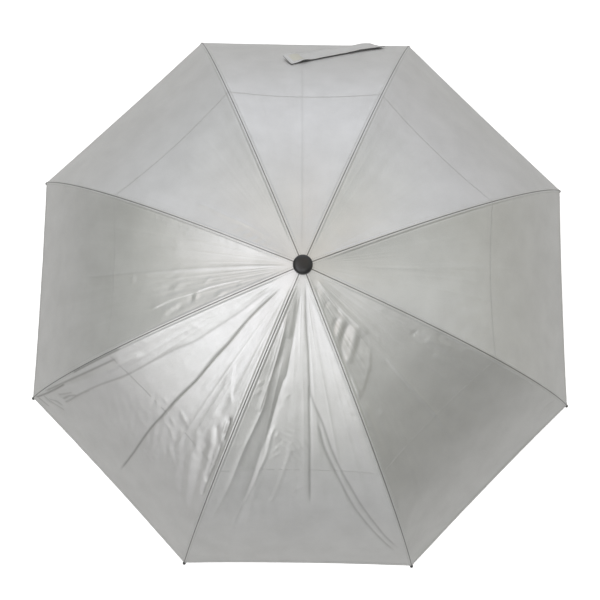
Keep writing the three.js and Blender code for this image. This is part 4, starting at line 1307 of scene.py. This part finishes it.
def make_grip():
    """Contoured foam with nine shallow turned grooves."""
    bottom, top = 8.4, 118.0
    z = np.unique(np.concatenate([np.linspace(bottom, 12, 8), np.linspace(12, 106, 190),
                                  np.linspace(106, top, 26)]))
    r = np.interp(z, GRIP_PROFILE[:, 1], GRIP_PROFILE[:, 0])
    for groove in range(9):
        r = r - 0.55 * np.exp(-((z - (34 + 7.0 * groove)) / 0.85) ** 2)
    profile = [(GRIP_BORE, bottom), (12.6, bottom), *zip(r.tolist(), z.tolist()),
               (GRIP_BORE, top), (GRIP_BORE, bottom)]
    grip = oriented(lathe("grip_foam", profile, 72, FOAM, sharp=50))
    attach(grip, "frame")
    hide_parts("handle_grip")


def closed_curve(points, count):
    """Evenly spaced points on a smooth closed curve, and its length."""
    path = []
    for k in range(len(points)):
        path += catmull_rom(*(points[(k + j) % len(points)] for j in (-1, 0, 1, 2)), count=20)
    closed = np.array(path + path[:1])
    steps = np.linalg.norm(np.diff(closed, axis=0), axis=1)
    run = np.concatenate([[0], np.cumsum(steps)])
    even = np.linspace(0, run[-1], count, endpoint=False)
    return np.stack([np.interp(even, run, closed[:, k]) for k in range(3)], -1), run[-1]


def make_cord():
    count, sides, lay = 720, 20, 5.2
    half = [(x, y, CORD_TOP + z) for x, y, z in CORD_HALF]
    loop = np.array(half + [(-x, y, z) for x, y, z in half[1:-1][::-1]], float)
    centres, length = closed_curve(loop, count)
    # two sets of strands wind opposite ways round the core
    angles = 2 * np.pi * np.arange(sides) / sides
    phase = 2 * np.pi * round(length / lay) * np.arange(count)[:, None] / count
    strands = np.maximum(np.abs(np.sin(4 * angles + phase)) ** 0.7,
                         np.abs(np.sin(4 * angles - phase)) ** 0.7)
    tangents = np.roll(centres, -1, 0) - np.roll(centres, 1, 0)
    verts, _ = tube_rings(centres, tangents, (0, 1.0, 0), 1.08 + 0.20 * strands, sides)
    faces = grid_faces(count + 1, sides, wrap=True) % len(verts)
    cord = oriented(new_object("cord_loop", verts, faces, (CORD,)))
    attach(cord, "wrist_cord")
    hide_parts("wrist_cord")


make_cap()
make_grip()
make_cord()

# ------------------------------------------------------------------ CAD pieces that keep their shape
CAD_LOOK = {"shaft": SHAFT_METAL, "crown": PLASTIC, "crown_wire": WIRE, "runner": PLASTIC,
            "runner_wire": WIRE, "runner_button": TIP_PLASTIC, "cord_collar": PLASTIC,
            "handle_end_cap": PLASTIC}
BEVELLED = ("runner", "crown", "runner_button", "cord_collar", "handle_end_cap")
for node_name, material in CAD_LOOK.items():
    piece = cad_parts[node_name]
    if not piece.material_slots:
        continue
    for slot in piece.material_slots:
        slot.link = "OBJECT"
        slot.material = material
    if node_name in BEVELLED:
        bevel = piece.modifiers.new("edges", "BEVEL")
        bevel.width = 0.00018
        bevel.segments = 2
        bevel.limit_method = "ANGLE"
        bevel.angle_limit = 40 * RAD


# ------------------------------------------------------------------ floor and light
def floor_material():
    mat = Shader("floor")
    mat.put("Base Color", mat.mix(mat.noise(scale=3, detail=2),
                                  (0.60, 0.60, 0.60), (0.63, 0.63, 0.63)))
    mat.put("Roughness", 0.9)
    mat.put("Emission Color", (1, 1, 1, 1))
    camera_ray = mat.node("LightPath").outputs["Is Camera Ray"]
    mat.put("Emission Strength", mat.math("MULTIPLY", camera_ray, 0.70))
    # seen from below, the floor lets the view through
    behind = mat.node("NewGeometry").outputs["Backfacing"]
    mix = mat.node("MixShader")
    mat.feed(mix.inputs[0], mat.math("MULTIPLY", behind, camera_ray))
    mat.feed(mix.inputs[1], mat.surface.outputs[0])
    mat.feed(mix.inputs[2], mat.node("BsdfTransparent").outputs[0])
    output = next(node for node in mat.tree.nodes if node.type == "OUTPUT_MATERIAL")
    mat.feed(output.inputs["Surface"], mix.outputs[0])
    return mat.material


FLOOR_HALF, FLOOR_Z = 9000.0, -0.5
floor_corners = [(x * FLOOR_HALF, y * FLOOR_HALF, FLOOR_Z)
                 for x, y in ((-1, -1), (1, -1), (1, 1), (-1, 1))]
new_object("floor", floor_corners, [(0, 1, 2, 3)], (floor_material(),), smooth=False)

# Soft glows: azimuth and height in degrees, tightness, and colour strength
SOFT_LIGHT = [
    (0, 12, 7.0, (0.201, 0.199, 0.102)),
    (45, 12, 7.0, (0.508, 0.470, 0.521)),
    (90, 12, 7.0, (1.111, 1.137, 1.206)),
    (135, 12, 7.0, (0.251, 0.272, 0.294)),
    (270, 12, 7.0, (0.407, 0.413, 0.460)),
    (0, 38, 9.0, (0.637, 0.641, 0.664)),
    (45, 38, 9.0, (0.174, 0.256, 0.232)),
    (135, 38, 9.0, (0.688, 0.682, 0.680)),
    (180, 38, 9.0, (0.114, 0.151, 0.042)),
    (225, 38, 9.0, (0.812, 0.774, 0.818)),
    (270, 38, 9.0, (0.271, 0.290, 0.201)),
    (0, 65, 20.0, (0.001, 0.066, 0.113)),
    (60, 65, 20.0, (1.132, 0.924, 0.700)),
    (180, 65, 20.0, (2.019, 1.882, 1.827)),
    (225, 45, 45.0, (2.396, 2.458, 2.372)),
    (205, 58, 45.0, (0.577, 0.734, 1.178)),
    (280, 66, 60.0, (3.236, 3.260, 3.386)),
    (330, 66, 45.0, (0.180, 0.146, 0.000)),
]
BACKDROP = 0.98             # grey that the camera sees


def soft_world():
    world = bpy.data.worlds.new("studio")
    world.use_nodes = True
    nodes = Nodes(world.node_tree)
    nodes.tree.nodes.clear()
    output = nodes.node("OutputWorld")
    direction = nodes.node("TexCoord").outputs["Generated"]
    total = None
    for azimuth, height, tight, color in SOFT_LIGHT:
        azimuth, height = azimuth * RAD, height * RAD
        dot = nodes.node("VectorMath", operation="DOT_PRODUCT")
        nodes.feed(dot.inputs[0], direction)
        nodes.feed(dot.inputs[1], (math.cos(azimuth) * math.cos(height),
                                   math.sin(azimuth) * math.cos(height), math.sin(height)))
        falloff = nodes.math("SUBTRACT", dot.outputs["Value"], 1.0)
        falloff = nodes.math("EXPONENT", nodes.math("MULTIPLY", falloff, tight))
        glow = nodes.node("VectorMath", operation="SCALE")
        nodes.feed(glow.inputs[0], color)
        nodes.feed(glow.inputs["Scale"], falloff)
        if total is None:
            total = glow.outputs[0]
        else:
            add = nodes.node("VectorMath")
            nodes.feed(add.inputs[0], total)
            nodes.feed(add.inputs[1], glow.outputs[0])
            total = add.outputs[0]
    soft, plain, mix = (nodes.node(kind) for kind in ("Background", "Background", "MixShader"))
    nodes.feed(soft.inputs[0], total)
    nodes.feed(plain.inputs[0], (BACKDROP, BACKDROP, BACKDROP, 1))
    nodes.feed(mix.inputs[0], nodes.node("LightPath").outputs["Is Camera Ray"])
    nodes.feed(mix.inputs[1], soft.outputs[0])
    nodes.feed(mix.inputs[2], plain.outputs[0])
    nodes.feed(output.inputs[0], mix.outputs[0])
    world.cycles.sampling_method = "MANUAL"
    world.cycles.sample_map_resolution = 512
    bpy.context.scene.world = world


soft_world()
bpy.context.scene.view_settings.view_transform = "Standard"
bpy.context.scene.view_settings.look = "None"

# ------------------------------------------------------------------ camera
# It looks down on the canopy, aimed at the shaft's axis in the plane of the rib tips
CAMERA_DISTANCE = 1200.0
TILT_X, TILT_Y, TILT_Z = -7.603 * RAD, 0.271 * RAD, -0.847 * RAD

camera_data = bpy.data.cameras.new("camera")
camera = bpy.data.objects.new("camera", camera_data)
bpy.context.scene.collection.objects.link(camera)
camera_turn = (Matrix.Rotation(TILT_Y, 3, "Y") @ Matrix.Rotation(TILT_X, 3, "X")
               @ Matrix.Rotation(TILT_Z, 3, "Z")).transposed()
target = Vector((0, 0, float(seam(1.0)[1])))
place_at = target + camera_turn @ Vector((0, 0, CAMERA_DISTANCE))
camera.matrix_world = Matrix.Translation(place_at * MM) @ camera_turn.to_4x4()
camera_data.sensor_width = 36
camera_data.lens = 43.4736
camera_data.shift_x = -0.00305
camera_data.shift_y = -0.01275
camera_data.clip_start = 0.01
camera_data.clip_end = 50
bpy.context.scene.camera = camera
